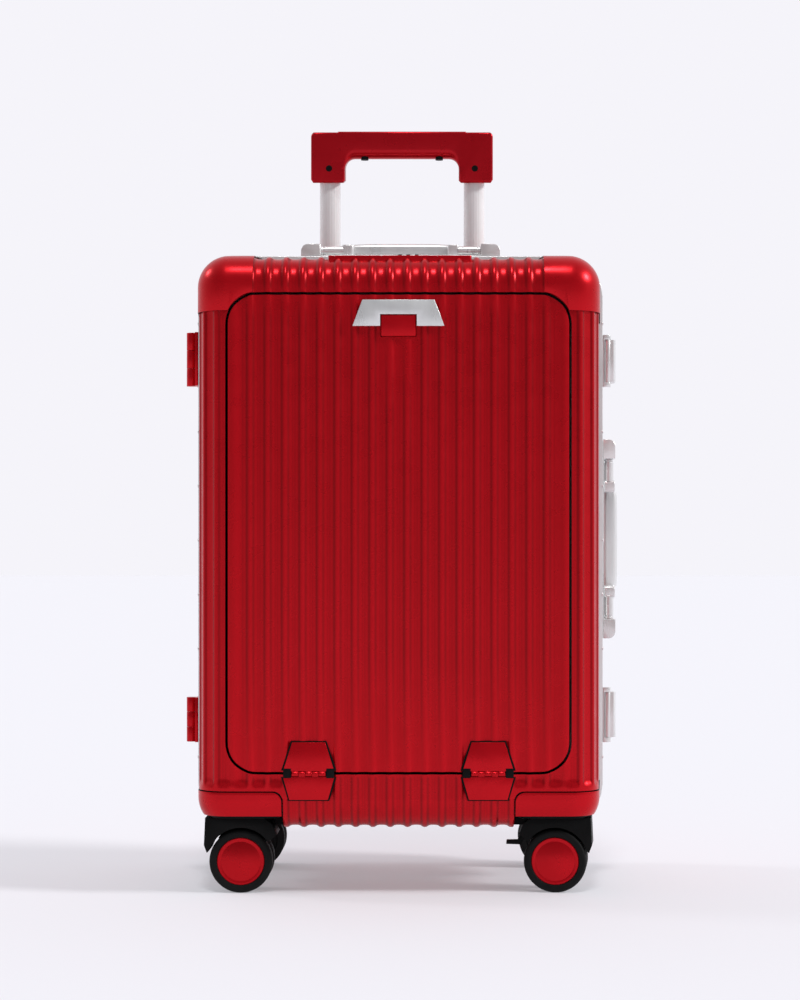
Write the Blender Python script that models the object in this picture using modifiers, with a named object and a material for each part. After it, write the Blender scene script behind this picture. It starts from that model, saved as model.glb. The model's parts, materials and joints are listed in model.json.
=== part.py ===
"""Hard-shell cabin case: ribbed half shells on aluminium frames, a front door, a trolley and casters.

Metres, +Z up. X runs to the right as seen from the front, the front faces -Y, and the origin is on the
floor under the middle of the case. Every moving piece hangs on an empty that sits on its joint's axis.
"""

import math

import bmesh
import bpy
from mathutils import Matrix, Vector

# Driving sizes
GAP = 0.0003
WHEEL_RADIUS = 0.0265
FRAME_HALF_WIDTH = 0.1775
FRAME_HEIGHT = 0.4985
FRONT_DEPTH = 0.116

# Frame and shells
FRAME_BOTTOM = 2 * WHEEL_RADIUS - 0.005
FRAME_TOP = FRAME_BOTTOM + FRAME_HEIGHT
FRAME_THICKNESS = 0.007
FRAME_HALF_DEPTH = 0.011
GASKET_THICKNESS = 0.002
GASKET_Y = (-0.005, 0.009)
SHELL_STEP = 0.0035
SHELL_WALL = 0.002
SIDE_DRAFT = 0.006
TOP_DRAFT = 0.0085
BOTTOM_DRAFT_SHARE = 0.65
CORNER_RADIUS = 0.032
EDGE_RADIUS = 0.026
RIB_PITCH = 0.0145
RIB_DEPTH = 0.002
RIBS_PER_SIDE = int((FRAME_HALF_WIDTH - 0.045) / RIB_PITCH)

# Front door
DOOR_HALF_WIDTH = FRAME_HALF_WIDTH - 0.0342
DOOR_BOTTOM = FRAME_BOTTOM + 0.0543
DOOR_TOP = FRAME_TOP - 0.0448
DOOR_CORNER = 0.026
DOOR_GAP = 0.0011
DOOR_CUT_DEPTH = 0.010
POCKET_DEPTH = 0.020
POCKET_WALL = 0.0015
POCKET_CORNER = 0.024
HINGE_X = 0.0745
HINGE_KNUCKLE_RADIUS = 0.0022
HINGE_KNUCKLE = 0.0056
HINGE_PIN_RADIUS = 0.001
HINGE_PLATE = 0.0014
LATCH_PLATE_HALF_WIDTHS = (0.030, 0.0382)
LATCH_PLATE_THICKNESS = 0.0018
PUSH_HALF_WIDTH = 0.0146
PUSH_HEIGHT = 0.0175

# Side hinges and latches
SIDE_AXIS_OUT = 0.0065
SIDE_KNUCKLE_RADIUS = 0.0048
SIDE_PIN_RADIUS = 0.002
SIDE_LEAF_THICKNESS = 0.003
SIDE_HINGES = {
    "upper": (FRAME_TOP - 0.1135, FRAME_TOP - 0.0665),
    "lower": (FRAME_BOTTOM + 0.072, FRAME_BOTTOM + 0.111),
}
LATCHES = {
    "upper": (FRAME_TOP - 0.1145, FRAME_TOP - 0.069),
    "lower": (FRAME_BOTTOM + 0.072, FRAME_BOTTOM + 0.120),
}
LATCH_AXIS = (FRAME_HALF_WIDTH + 0.0045, -0.0070)
LATCH_BARREL = 0.0028
LATCH_PIN = 0.0011
LATCH_EAR = 0.004

# Carry handles
HANDLE_HALF_LENGTH = 0.0875
HANDLE_BRACKET = 0.017
HANDLE_BARREL = 0.019
HANDLE_REACH = 0.032
HANDLE_HEIGHT = 0.011
HANDLE_ARM = 0.010
HANDLE_BAR_WIDTH = 0.017
HANDLE_ROUNDING = 0.006
HANDLE_BASE_DEPTH = 0.0085
HANDLE_BASE_PLATE = 0.0012
HANDLE_AXIS_Z = 0.0058
HANDLE_BARREL_RADIUS = 0.0040
HANDLE_PIN_RADIUS = 0.0022
HANDLE_PIN_LENGTH = 0.009
SIDE_HANDLE_Z = (FRAME_BOTTOM + FRAME_TOP) / 2 + 0.00125

# Combination lock
LOCK_X = (-0.059, 0.061)
LOCK_Y = (-FRONT_DEPTH + 0.016, -FRONT_DEPTH + 0.046)
LOCK_TOP = FRAME_TOP - 0.0099
LOCK_HEIGHT = 0.008
DIAL_X = (0.0008, 0.0078, 0.0148)
DIAL_RADIUS = 0.0042
DIAL_WIDTH = 0.0030
DIAL_SLOT_DEPTH = 0.0073
DIAL_SINK = 0.0030

# Trolley
TROLLEY_Y = FRONT_DEPTH - 0.037
TUBE_X = 0.066
TUBE_RADIUS = 0.0095
TUBE_CLEARANCE = 0.0005
TUBE_WALL = 0.0013
OUTER_TUBE_WALL = 0.0012
BEZEL_MARGIN = 0.020
BEZEL_HALF_DEPTH = 0.0128
BEZEL_HEIGHT = 0.0123
BEZEL_DROP = 0.0012
HOUSING_HALF_WIDTH = TUBE_X + 0.018
HOUSING_BOTTOM = FRAME_BOTTOM + 0.042
HOUSING_WALL = 0.002
HOUSING_REAR = TROLLEY_Y + 0.019
GRIP_HALF_WIDTH = TUBE_X + 0.017
GRIP_TOP = FRAME_TOP + 0.1245
GRIP_BAR_BOTTOM = GRIP_TOP - 0.0265
GRIP_LEG_BOTTOM = GRIP_TOP - 0.0473
GRIP_LEG_WIDTH = 0.031
GRIP_DEPTH = 0.027
GRIP_FILLET = 0.009
GRIP_CORNER = 0.004
TUBE_LENGTH = 0.4667
TUBE_IN_GRIP = 0.018
BUTTON_HALF_LENGTH = 0.0585
BUTTON_HALF_DEPTH = 0.0065

# Casters
PIVOT_X = FRAME_HALF_WIDTH - 0.0355
PIVOT_Y = FRONT_DEPTH - 0.040
WHEEL_WIDTH = 0.013
WHEEL_INNER = 0.0048
TRAIL = 0.009
AXLE_RADIUS = 0.003
STEM_RADIUS = 0.005
SOCKET_RADIUS = 0.010
SWIVELS = {"front_left": 0.0, "front_right": -6.0, "rear_left": 0.0, "rear_right": 0.0}
GUARD_INNER_X = PIVOT_X - 0.045
GUARD_BOTTOM = 2 * WHEEL_RADIUS + 0.0105
GUARD_TOP = GUARD_BOTTOM + 0.0235
GUARD_WALL = 0.0025
GUARD_FLOOR = 0.004
GUARD_PROUD = 0.0008
TOP_GUARD_PROUD = 0.0014
TOP_GUARD_X = FRAME_HALF_WIDTH - 0.0565
TOP_GUARD_Z = FRAME_TOP - 0.0595
BRAKE_AXIS = (0.0350, 2 * WHEEL_RADIUS - 0.003)
BRAKE_HALF = 0.0036
BRAKE_PIN = 0.0011
BRAKE_BARREL = 0.0028

# Sizes that follow from those above
SHELL_HALF_WIDTH = FRAME_HALF_WIDTH - SHELL_STEP
SHELL_BOTTOM = FRAME_BOTTOM + SHELL_STEP
SHELL_TOP = FRAME_TOP - SHELL_STEP
SHELL_START = FRAME_HALF_DEPTH + GAP
DOOR_AXIS_Y = -FRONT_DEPTH - GAP - HINGE_PLATE / 2
FRONT_REACH = -DOOR_AXIS_Y + HINGE_KNUCKLE_RADIUS
REAR_DEPTH = FRONT_REACH - GUARD_PROUD
SIDE_AXIS_X = -FRAME_HALF_WIDTH - SIDE_AXIS_OUT
OUTER_TUBE_INNER = TUBE_RADIUS + TUBE_CLEARANCE
OUTER_TUBE_OUTER = OUTER_TUBE_INNER + OUTER_TUBE_WALL
FLOOR_OF_CASTER = GUARD_BOTTOM - GAP
BEZEL_TOP = SHELL_TOP - BEZEL_DROP
BEZEL_BOTTOM = BEZEL_TOP - BEZEL_HEIGHT
TUBE_BOTTOM = GRIP_LEG_BOTTOM + TUBE_IN_GRIP - TUBE_LENGTH

COLLECTION = bpy.data.collections.new("cabin_case")
CUTTERS = bpy.data.collections.new("cutters")


# ---------------------------------------------------------------- helpers

def clear_scene():
    for item in list(bpy.data.objects):
        bpy.data.objects.remove(item, do_unlink=True)
    bpy.context.scene.collection.children.link(COLLECTION)
    bpy.context.scene.collection.children.link(CUTTERS)


def material(name, colour, roughness, metallic=0.0):
    made = bpy.data.materials.new(name)
    made.use_nodes = True
    shader = made.node_tree.nodes["Principled BSDF"]
    shader.inputs["Base Color"].default_value = (*colour, 1.0)
    shader.inputs["Roughness"].default_value = roughness
    shader.inputs["Metallic"].default_value = metallic
    made.diffuse_color = (*colour, 1.0)
    return made


def new_object(name, bm, paint=None, cutter=False):
    """Turns a bmesh into an object with its faces pointing out."""
    bmesh.ops.recalc_face_normals(bm, faces=bm.faces)
    mesh = bpy.data.meshes.new(name)
    bm.to_mesh(mesh)
    bm.free()
    made = bpy.data.objects.new(name, mesh)
    (CUTTERS if cutter else COLLECTION).objects.link(made)
    made.hide_render = cutter
    made.display_type = "WIRE" if cutter else "TEXTURED"
    if paint:
        mesh.materials.append(paint)
        mesh.shade_smooth()
        mesh.set_sharp_from_angle(angle=math.radians(32))
    return made


def box(low, high):
    """A box between two corners."""
    bm = bmesh.new()
    bmesh.ops.create_cube(bm, size=1.0)
    low, high = Vector(low), Vector(high)
    scale = Matrix.Diagonal((*(high - low), 1.0))
    bm.transform(Matrix.Translation((low + high) / 2) @ scale)
    return bm


def turn_to(axis):
    return {"X": Matrix.Rotation(math.pi / 2, 4, "Y"), "Y": Matrix.Rotation(-math.pi / 2, 4, "X"),
            "Z": Matrix.Identity(4)}[axis]


def cylinder(centre, radius, length, axis, sides=20):
    """A cylinder about a point, along X, Y or Z."""
    bm = bmesh.new()
    bmesh.ops.create_cone(bm, cap_ends=True, segments=sides, radius1=radius, radius2=radius, depth=length)
    bm.transform(Matrix.Translation(centre) @ turn_to(axis))
    return bm


def prism(outline, axis, low, high):
    """An outline pushed along an axis. Along Y it is read as (x, z), along Z as (x, y), along X as (y, z)."""
    place = {
        "X": lambda a, b, c: (c, a, b),
        "Y": lambda a, b, c: (a, c, b),
        "Z": lambda a, b, c: (a, b, c),
    }[axis]
    bm = bmesh.new()
    face = bm.faces.new([bm.verts.new(place(a, b, low)) for a, b in outline])
    pushed = bmesh.ops.extrude_face_region(bm, geom=[face])
    tops = [v for v in pushed["geom"] if isinstance(v, bmesh.types.BMVert)]
    bmesh.ops.translate(bm, verts=tops, vec=Vector(place(0, 0, high - low)))
    return bm


def arc(centre, radius, start, end, steps=5):
    """Points on an arc, in degrees, both ends included."""
    angles = [math.radians(start + (end - start) * i / steps) for i in range(steps + 1)]
    return [(centre[0] + radius * math.cos(a), centre[1] + radius * math.sin(a)) for a in angles]


def rounded_rectangle(low, high, radius, steps=5):
    corners = ((high[0] - radius, low[1] + radius, -90), (high[0] - radius, high[1] - radius, 0),
               (low[0] + radius, high[1] - radius, 90), (low[0] + radius, low[1] + radius, 180))
    points = []
    for x, z, start in corners:
        points += arc((x, z), radius, start, start + 90, steps)
    return points


def weld(mesh):
    """Triangulates a mesh and merges points that lie on each other."""
    bm = bmesh.new()
    bm.from_mesh(mesh)
    bmesh.ops.remove_doubles(bm, verts=bm.verts, dist=0.000002)
    bmesh.ops.dissolve_degenerate(bm, edges=bm.edges, dist=0.000002)
    bmesh.ops.triangulate(bm, faces=bm.faces)
    bm.to_mesh(mesh)
    bm.free()


def combine(target, operation, *shapes):
    """Cuts, joins or intersects shapes with a piece, and applies the result."""
    for index, bm in enumerate(shapes):
        tool = new_object(f"{target.name}_tool_{index}", bm, cutter=True)
        modifier = target.modifiers.new(operation, "BOOLEAN")
        modifier.operation = operation
        modifier.solver = "EXACT"
        modifier.object = tool
        graph = bpy.context.evaluated_depsgraph_get()
        mesh = bpy.data.meshes.new_from_object(target.evaluated_get(graph))
        weld(mesh)
        target.modifiers.clear()
        old = target.data
        target.data = mesh
        bpy.data.meshes.remove(old)
        bpy.data.objects.remove(tool, do_unlink=True)
    return target


def cut(target, *shapes):
    return combine(target, "DIFFERENCE", *shapes)


def join(target, *shapes):
    return combine(target, "UNION", *shapes)


def keep_inside(target, *shapes):
    return combine(target, "INTERSECT", *shapes)


def soften(piece, width, segments=2, angle=40):
    """Rounds a piece's sharp edges."""
    modifier = piece.modifiers.new("soft_edges", "BEVEL")
    modifier.width = width
    modifier.segments = segments
    modifier.limit_method = "ANGLE"
    modifier.angle_limit = math.radians(angle)
    return piece


def turned(name, profile, paint, axis, sides=28):
    """A ring or disc turned from (radius, along) points that run down its outer side."""
    bm = bmesh.new()
    points = [bm.verts.new((r, 0, h)) for r, h in profile]
    for first, second in zip(points, points[1:]):
        bm.edges.new((first, second))
    mesh = bpy.data.meshes.new(name)
    bm.to_mesh(mesh)
    bm.free()
    made = bpy.data.objects.new(name, mesh)
    COLLECTION.objects.link(made)
    modifier = made.modifiers.new("turn", "SCREW")
    modifier.steps = sides
    modifier.render_steps = sides
    modifier.use_merge_vertices = True
    modifier.merge_threshold = 0.00001
    modifier.use_normal_calculate = True
    graph = bpy.context.evaluated_depsgraph_get()
    solid = bpy.data.meshes.new_from_object(made.evaluated_get(graph))
    bpy.data.objects.remove(made, do_unlink=True)
    bm = bmesh.new()
    bm.from_mesh(solid)
    bmesh.ops.remove_doubles(bm, verts=bm.verts, dist=0.00001)
    bm.transform(turn_to(axis))
    return new_object(name, bm, paint)


def pivot(name, place, parent=None, turn=(0, 0, 0)):
    """An empty on a joint's axis, in world coordinates."""
    made = bpy.data.objects.new(name, None)
    COLLECTION.objects.link(made)
    made.matrix_world = Matrix.LocRotScale(Vector(place), None, None) @ Matrix.Rotation(turn[1], 4, "Y") \
        @ Matrix.Rotation(turn[2], 4, "Z")
    if parent:
        hang(made, parent)
    return made


def hang(piece, parent):
    """Parents a piece without moving it."""
    bpy.context.view_layer.update()
    world = piece.matrix_world.copy()
    piece.parent = parent
    piece.matrix_parent_inverse = parent.matrix_world.inverted()
    piece.matrix_world = world


def place_on(piece, parent):
    """Reads a piece's points as lying in its parent's own frame."""
    piece.parent = parent
    return piece


# ---------------------------------------------------------------- half shells

def shell_layers(depth):
    """(y, share of draft, inset of the rounded edge, edge angle) from the frame to the face."""
    layers = [(SHELL_START, 0.0, 0.0, 0.0), (SHELL_START + 0.008, 0.09, 0.0, 0.0),
              (depth - EDGE_RADIUS, 1.0, 0.0, 0.0)]
    for degrees in (32, 62, 90):
        a = math.radians(degrees)
        layers.append((depth - EDGE_RADIUS * (1 - math.sin(a)), 1.0, EDGE_RADIUS * (1 - math.cos(a)), a))
    return layers


def chain(half_width, z_high, radius, ribs):
    """Points along the top of a section from its left side to its right: (x, z, rib share)."""
    left = arc((-half_width + radius, z_high - radius), radius, 180, 90, 4)
    points = [(x, z, 0.0) for x, z in left]
    if ribs:
        count = 2 * RIBS_PER_SIDE
        for i in range(-count, count + 1):
            points.append((i * RIB_PITCH / 2, z_high, 1.0 if i % 2 == 0 and abs(i) < count else 0.0))
    right = arc((half_width - radius, z_high - radius), radius, 90, 0, 4)
    return points + [(x, z, 0.0) for x, z in right]


def half_case(side, depth, ribs=True, grow=0.0):
    """The outer skin of one half, open at the frame: side is -1 for the front and 1 for the rear.

    Ribs lie on the face and wrap over the top and the bottom. grow moves the whole skin outwards.
    """
    bm = bmesh.new()
    rings = []
    for index, (y, draft, inset, angle) in enumerate(shell_layers(depth)):
        half_width = SHELL_HALF_WIDTH - SIDE_DRAFT * draft - inset + grow
        z_high = SHELL_TOP - TOP_DRAFT * draft - inset + grow
        z_low = SHELL_BOTTOM + TOP_DRAFT * BOTTOM_DRAFT_SHARE * draft + inset - grow
        radius = max(CORNER_RADIUS - SIDE_DRAFT * draft - inset, 0.003)
        shift = grow if index > 1 else 0.0
        chains = []
        for top in (True, False):
            verts = []
            for x, z, share in chain(half_width, z_high, radius, ribs):
                dip = RIB_DEPTH * share if index else 0.0
                z_here = z - dip * math.cos(angle)
                z_here = z_here if top else z_low + (z_high - z_here)
                y_here = side * (y + shift - dip * math.sin(angle))
                verts.append(bm.verts.new((x, y_here, z_here)))
            chains.append(verts)
        rings.append(chains)
    for first, second in zip(rings, rings[1:]):
        outer = first[0] + first[1][::-1]
        inner = second[0] + second[1][::-1]
        for i in range(len(outer)):
            j = (i + 1) % len(outer)
            bm.faces.new((outer[i], outer[j], inner[j], inner[i]))
    top, bottom = rings[-1]
    for i in range(len(top) - 1):
        bm.faces.new((top[i], top[i + 1], bottom[i + 1], bottom[i]))
    bmesh.ops.recalc_face_normals(bm, faces=bm.faces)
    outward = sum(f.normal.y * f.calc_area() for f in bm.faces)
    if outward * side < 0:
        bmesh.ops.reverse_faces(bm, faces=bm.faces)
    return bm, rings[0]


def half_shell(name, side, depth, paint):
    """The ribbed skin, hollowed out from the frame side to a plain inner surface."""
    shell = new_object(name, half_block(side, depth, 0.0, ribs=True), paint)
    weld(shell.data)
    return cut(shell, half_block(side, depth, -SHELL_WALL - RIB_DEPTH, start=-0.004))


def half_block(side, depth, grow, ribs=False, start=0.0):
    """A half's outer form as a closed block. start moves its end at the frame."""
    bm, (top, bottom) = half_case(side, depth, ribs, grow)
    bm.faces.new(top + bottom[::-1])
    bmesh.ops.translate(bm, verts=top + bottom, vec=(0, side * start, 0))
    bmesh.ops.recalc_face_normals(bm, faces=bm.faces)
    return bm


def caster_notches(side, grow):
    """The two bottom corners that the caster guards fill."""
    deep = (side * SHELL_START, side * 0.2)
    low_y, high_y = min(deep), max(deep)
    notches = []
    for x in (-1, 1):
        xs = sorted((x * (GUARD_INNER_X - grow), x * 0.2))
        notches.append(box((xs[0], low_y - 0.001 * (side > 0), 0.0),
                           (xs[1], high_y + 0.001 * (side < 0), GUARD_TOP + grow)))
    return notches


# ---------------------------------------------------------------- guards

def bottom_guard(name, side, x, depth, paint):
    """A corner casting with the caster's socket in its floor."""
    guard = new_object(name, half_block(side, depth, GUARD_PROUD), paint)
    xs = sorted((x * GUARD_INNER_X, x * 0.2))
    ys = sorted((side * (SHELL_START + GAP), side * 0.2))
    keep_inside(guard, box((xs[0], ys[0], GUARD_BOTTOM), (xs[1], ys[1], GUARD_TOP)))
    inside = new_object("hollow", half_block(side, depth, -GUARD_WALL), cutter=True)
    keep_inside(inside, box((-0.2, -0.2, GUARD_BOTTOM + GUARD_FLOOR), (0.2, 0.2, 0.2)))
    hollow = bmesh.new()
    hollow.from_mesh(inside.data)
    bpy.data.objects.remove(inside, do_unlink=True)
    cut(guard, hollow)
    socket = Vector((x * PIVOT_X, side * PIVOT_Y, 0))
    join(guard, cylinder(socket + Vector((0, 0, GUARD_BOTTOM + 0.0095)), SOCKET_RADIUS, 0.0150, "Z"))
    cut(guard, cylinder(socket + Vector((0, 0, GUARD_BOTTOM + 0.006)), STEM_RADIUS + GAP, 0.0135, "Z"))
    return guard


def top_guard(name, side, x, depth, paint):
    """A thin cap over a top corner, resting on the rib crests."""
    guard = new_object(name, half_block(side, depth, TOP_GUARD_PROUD), paint)
    xs = sorted((x * TOP_GUARD_X, x * 0.2))
    ys = sorted((side * (SHELL_START + GAP), side * (depth - 0.0015)))
    keep_inside(guard, box((xs[0], ys[0], TOP_GUARD_Z), (xs[1], ys[1], 0.6)))
    cut(guard, half_block(side, depth, GAP))
    return guard


# ---------------------------------------------------------------- frames

def frame_ring(name, grow_out, thickness, y_low, y_high, paint):
    """A rail that runs right round the opening."""
    outer = rounded_rectangle((-FRAME_HALF_WIDTH - grow_out, FRAME_BOTTOM - grow_out),
                              (FRAME_HALF_WIDTH + grow_out, FRAME_TOP + grow_out),
                              CORNER_RADIUS + SHELL_STEP + grow_out, 6)
    inner = rounded_rectangle((-FRAME_HALF_WIDTH - grow_out + thickness, FRAME_BOTTOM - grow_out + thickness),
                              (FRAME_HALF_WIDTH + grow_out - thickness, FRAME_TOP + grow_out - thickness),
                              CORNER_RADIUS + SHELL_STEP + grow_out - thickness, 6)
    ring = new_object(name, prism(outer, "Y", y_low, y_high), paint)
    return cut(ring, prism(inner, "Y", y_low - 0.01, y_high + 0.01))


# ---------------------------------------------------------------- side hinges and latches

def side_leaf(name, z_low, z_high, half, paint):
    """Half of a side hinge. The rear leaf holds the pin and two end knuckles, the front one the middle."""
    third = (z_high - z_low) / 3
    place = Vector((SIDE_AXIS_X, 0, 0))
    knuckles = [(z_low, z_low + third - GAP), (z_high - third + GAP, z_high)]
    if half < 0:
        knuckles = [(z_low + third, z_high - third)]
    plate_x = (-FRAME_HALF_WIDTH - SIDE_LEAF_THICKNESS, -FRAME_HALF_WIDTH - GAP)
    ys = sorted((half * 0.0006, half * 0.0105))
    leaf = new_object(name, box((plate_x[0], ys[0], z_low), (plate_x[1], ys[1], z_high)), paint)
    others = [(z_low - 0.001, z_low + third), (z_high - third, z_high + 0.001)]
    if half > 0:
        others = [(z_low + third - GAP, z_high - third + GAP)]
    for low, high in others:
        middle = place + Vector((0, 0, (low + high) / 2))
        cut(leaf, cylinder(middle, SIDE_KNUCKLE_RADIUS + GAP, high - low, "Z"))
    for low, high in knuckles:
        middle = place + Vector((0, 0, (low + high) / 2))
        join(leaf, cylinder(middle, SIDE_KNUCKLE_RADIUS, high - low, "Z"))
    pin = place + Vector((0, 0, (z_low + z_high) / 2))
    if half > 0:
        join(leaf, cylinder(pin, SIDE_PIN_RADIUS, z_high - z_low - 0.002, "Z", 16))
    else:
        cut(leaf, cylinder(pin, SIDE_PIN_RADIUS + GAP, z_high - z_low + 0.01, "Z", 16))
    return leaf


def latch_base(name, z_low, z_high, paint):
    """The plate on the front frame that carries a latch lever between two ears."""
    x = FRAME_HALF_WIDTH
    base = new_object(name, box((x + GAP, -0.0106, z_low), (x + 0.0014, -0.0006, z_high)), paint)
    for low, high in ((z_low, z_low + LATCH_EAR), (z_high - LATCH_EAR, z_high)):
        join(base, box((x + 0.0008, -0.0106, low), (x + 0.0045, -0.0042, high)),
             cylinder((LATCH_AXIS[0], LATCH_AXIS[1], (low + high) / 2), LATCH_BARREL, high - low, "Z", 16))
    middle = (LATCH_AXIS[0], LATCH_AXIS[1], (z_low + z_high) / 2)
    join(base, cylinder(middle, LATCH_PIN, z_high - z_low - 0.002, "Z", 12))
    return base


def latch_lever(name, z_low, z_high, paint):
    """The lever that flips out about the base's pin and pulls the two halves together."""
    low, high = z_low + LATCH_EAR + GAP, z_high - LATCH_EAR - GAP
    x = FRAME_HALF_WIDTH
    outline = [(x + 0.0056, -0.0088), (x + 0.0096, -0.0088), (x + 0.0113, -0.0066), (x + 0.0113, 0.0080),
               (x + 0.0100, 0.0104), (x + 0.0074, 0.0104), (x + 0.0074, -0.0040), (x + 0.0056, -0.0044)]
    lever = new_object(name, prism(outline, "Z", low, high), paint)
    middle = (LATCH_AXIS[0], LATCH_AXIS[1], (low + high) / 2)
    join(lever, cylinder(middle, LATCH_BARREL, high - low, "Z", 16))
    cut(lever, cylinder(middle, LATCH_PIN + GAP, high - low + 0.01, "Z", 12))
    return lever


def latch_keeper(name, z_low, z_high, paint):
    """The ridge on the rear frame that the lever grips."""
    x = FRAME_HALF_WIDTH
    plate = box((x + GAP, 0.0006, z_low + LATCH_EAR), (x + 0.0016, 0.0104, z_high - LATCH_EAR))
    keeper = new_object(name, plate, paint)
    return join(keeper, box((x + 0.001, 0.0062, z_low + 0.006), (x + 0.0060, 0.0098, z_high - 0.006)))


# ---------------------------------------------------------------- carry handles

def handle_base(name, paint):
    """Two end brackets on a thin plate, in the handle's own frame: X along it, Z away from the case."""
    inner = HANDLE_HALF_LENGTH - HANDLE_BRACKET
    depth, half, r = HANDLE_BASE_DEPTH, HANDLE_HALF_LENGTH, HANDLE_ROUNDING
    base = new_object(name, box((-half, -depth, 0), (half, depth, HANDLE_BASE_PLATE)), paint)
    for x in (-1, 1):
        round_end = arc((x * (half - r), HANDLE_HEIGHT - r), r, 0 if x > 0 else 180, 90, 4)
        outline = [(x * inner, 0.0006), (x * half, 0.0006), *round_end, (x * inner, HANDLE_HEIGHT)]
        join(base, prism(outline, "Y", -depth, depth))
        pin = (x * (inner - HANDLE_PIN_LENGTH / 2 + 0.001), 0, HANDLE_AXIS_Z)
        join(base, cylinder(pin, HANDLE_PIN_RADIUS, HANDLE_PIN_LENGTH + 0.002, "X", 14))
    return base


def carry_handle(name, paint):
    """The bail: barrels on the base's pins, two blocks, and the bar that lies behind the axis at rest."""
    inner = HANDLE_HALF_LENGTH - HANDLE_BRACKET - GAP
    block = inner - HANDLE_BARREL
    bar = block - HANDLE_ARM
    low, high = HANDLE_AXIS_Z - 0.0042, HANDLE_HEIGHT
    reach, r = HANDLE_REACH, HANDLE_ROUNDING
    outline = [(-block, 0.0), (-bar, 0.0)]
    outline += arc((-bar + 0.004, reach - HANDLE_BAR_WIDTH), 0.004, 180, 90, 3)
    outline += arc((bar - 0.004, reach - HANDLE_BAR_WIDTH), 0.004, 90, 0, 3)
    outline += [(bar, 0.0), (block, 0.0)]
    outline += arc((block - r, reach - r), r, 0, 90, 4)
    outline += arc((-block + r, reach - r), r, 90, 180, 4)
    bail = new_object(name, prism(outline, "Z", low, high), paint)
    for x in (-1, 1):
        middle = x * (bar + inner) / 2
        join(bail, cylinder((middle, 0, HANDLE_AXIS_Z), HANDLE_BARREL_RADIUS, inner - bar, "X", 18))
    hole = HANDLE_PIN_LENGTH + 0.0005
    for x in (-1, 1):
        middle = x * (inner - hole / 2 + 0.0005)
        cut(bail, cylinder((middle, 0, HANDLE_AXIS_Z), HANDLE_PIN_RADIUS + GAP, hole + 0.001, "X", 12))
    return bail


# ---------------------------------------------------------------- front door

def door_outline(grow):
    return rounded_rectangle((-DOOR_HALF_WIDTH - grow, DOOR_BOTTOM - grow),
                             (DOOR_HALF_WIDTH + grow, DOOR_TOP + grow), DOOR_CORNER + grow, 6)


def door_leaf(name, x, upper, paint):
    """Half of a door hinge: a tapered plate with three knuckles above, or with two and the pin below."""
    axis_z = DOOR_BOTTOM
    y_low, y_high = -FRONT_DEPTH - GAP - HINGE_PLATE, -FRONT_DEPTH - GAP
    knuckle = HINGE_KNUCKLE
    relief = HINGE_KNUCKLE_RADIUS + GAP
    if upper:
        outline = [(x - 0.022, axis_z), (x + 0.022, axis_z), (x + 0.0137, axis_z + 0.0262),
                   (x - 0.0137, axis_z + 0.0262)]
        places = [-2, 0, 2]
    else:
        outline = [(x - 0.016, axis_z - 0.0215), (x + 0.016, axis_z - 0.0215), (x + 0.022, axis_z),
                   (x - 0.022, axis_z)]
        places = [-1, 1]
    leaf = new_object(name, prism(outline, "Y", y_low, y_high), paint)
    cut(leaf, cylinder((x, DOOR_AXIS_Y, axis_z), relief, 0.046, "X", 10))
    for i in places:
        middle = x + i * knuckle
        z_far = axis_z + (0.004 if upper else -0.004)
        z_low, z_high = sorted((axis_z, z_far))
        half = (knuckle - GAP) / 2
        join(leaf, box((middle - half, y_low, z_low), (middle + half, y_high, z_high)),
             cylinder((middle, DOOR_AXIS_Y, axis_z), HINGE_KNUCKLE_RADIUS, knuckle - GAP, "X", 10))
    if upper:
        cut(leaf, cylinder((x, DOOR_AXIS_Y, axis_z), HINGE_PIN_RADIUS + GAP, 0.05, "X", 8))
    else:
        join(leaf, cylinder((x, DOOR_AXIS_Y, axis_z), HINGE_PIN_RADIUS, 5 * knuckle, "X", 8))
    return leaf


def latch_plate(name, paint):
    """The silver plate at the door's top, with a notch for the push piece."""
    top, bottom, notch = DOOR_TOP - 0.0059, DOOR_TOP - 0.0277, DOOR_TOP - 0.0179
    half = PUSH_HALF_WIDTH + 0.0006
    narrow, wide = LATCH_PLATE_HALF_WIDTHS
    outline = [(-narrow, top), (narrow, top), (wide, bottom), (half, bottom), (half, notch), (-half, notch),
               (-half, bottom), (-wide, bottom)]
    y = -FRONT_DEPTH - GAP
    return new_object(name, prism(outline, "Y", y - LATCH_PLATE_THICKNESS, y), paint)


def door(paint, silver, shell):
    """The door panel, cut out of the front shell, with its latch and its hinge halves."""
    panel = half_shell("door_panel", -1, FRONT_DEPTH, paint)
    keep_inside(panel, prism(door_outline(-DOOR_GAP), "Y", -0.2, -FRONT_DEPTH + DOOR_CUT_DEPTH))
    push_top = DOOR_TOP - 0.0185
    push_low = push_top - PUSH_HEIGHT
    half = PUSH_HALF_WIDTH
    cut(panel, box((-half - GAP, -0.2, push_low - GAP), (half + GAP, 0, push_top + GAP)))
    cut(shell, prism(door_outline(0.0), "Y", -0.2, -FRONT_DEPTH + DOOR_CUT_DEPTH))
    clearance = HINGE_KNUCKLE_RADIUS + 2 * GAP
    for x in (-HINGE_X, HINGE_X):
        for piece in (shell, panel):
            cut(piece, cylinder((x, DOOR_AXIS_Y, DOOR_BOTTOM), clearance, 0.030, "X", 16))
    plate = latch_plate("door_latch_plate", silver)
    face = -FRONT_DEPTH - GAP
    block = box((-half, face - 0.0012, push_low), (half, face + 0.0060, push_top))
    push = new_object("door_push", block, paint)
    return panel, plate, soften(push, 0.0006, 1)


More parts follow.
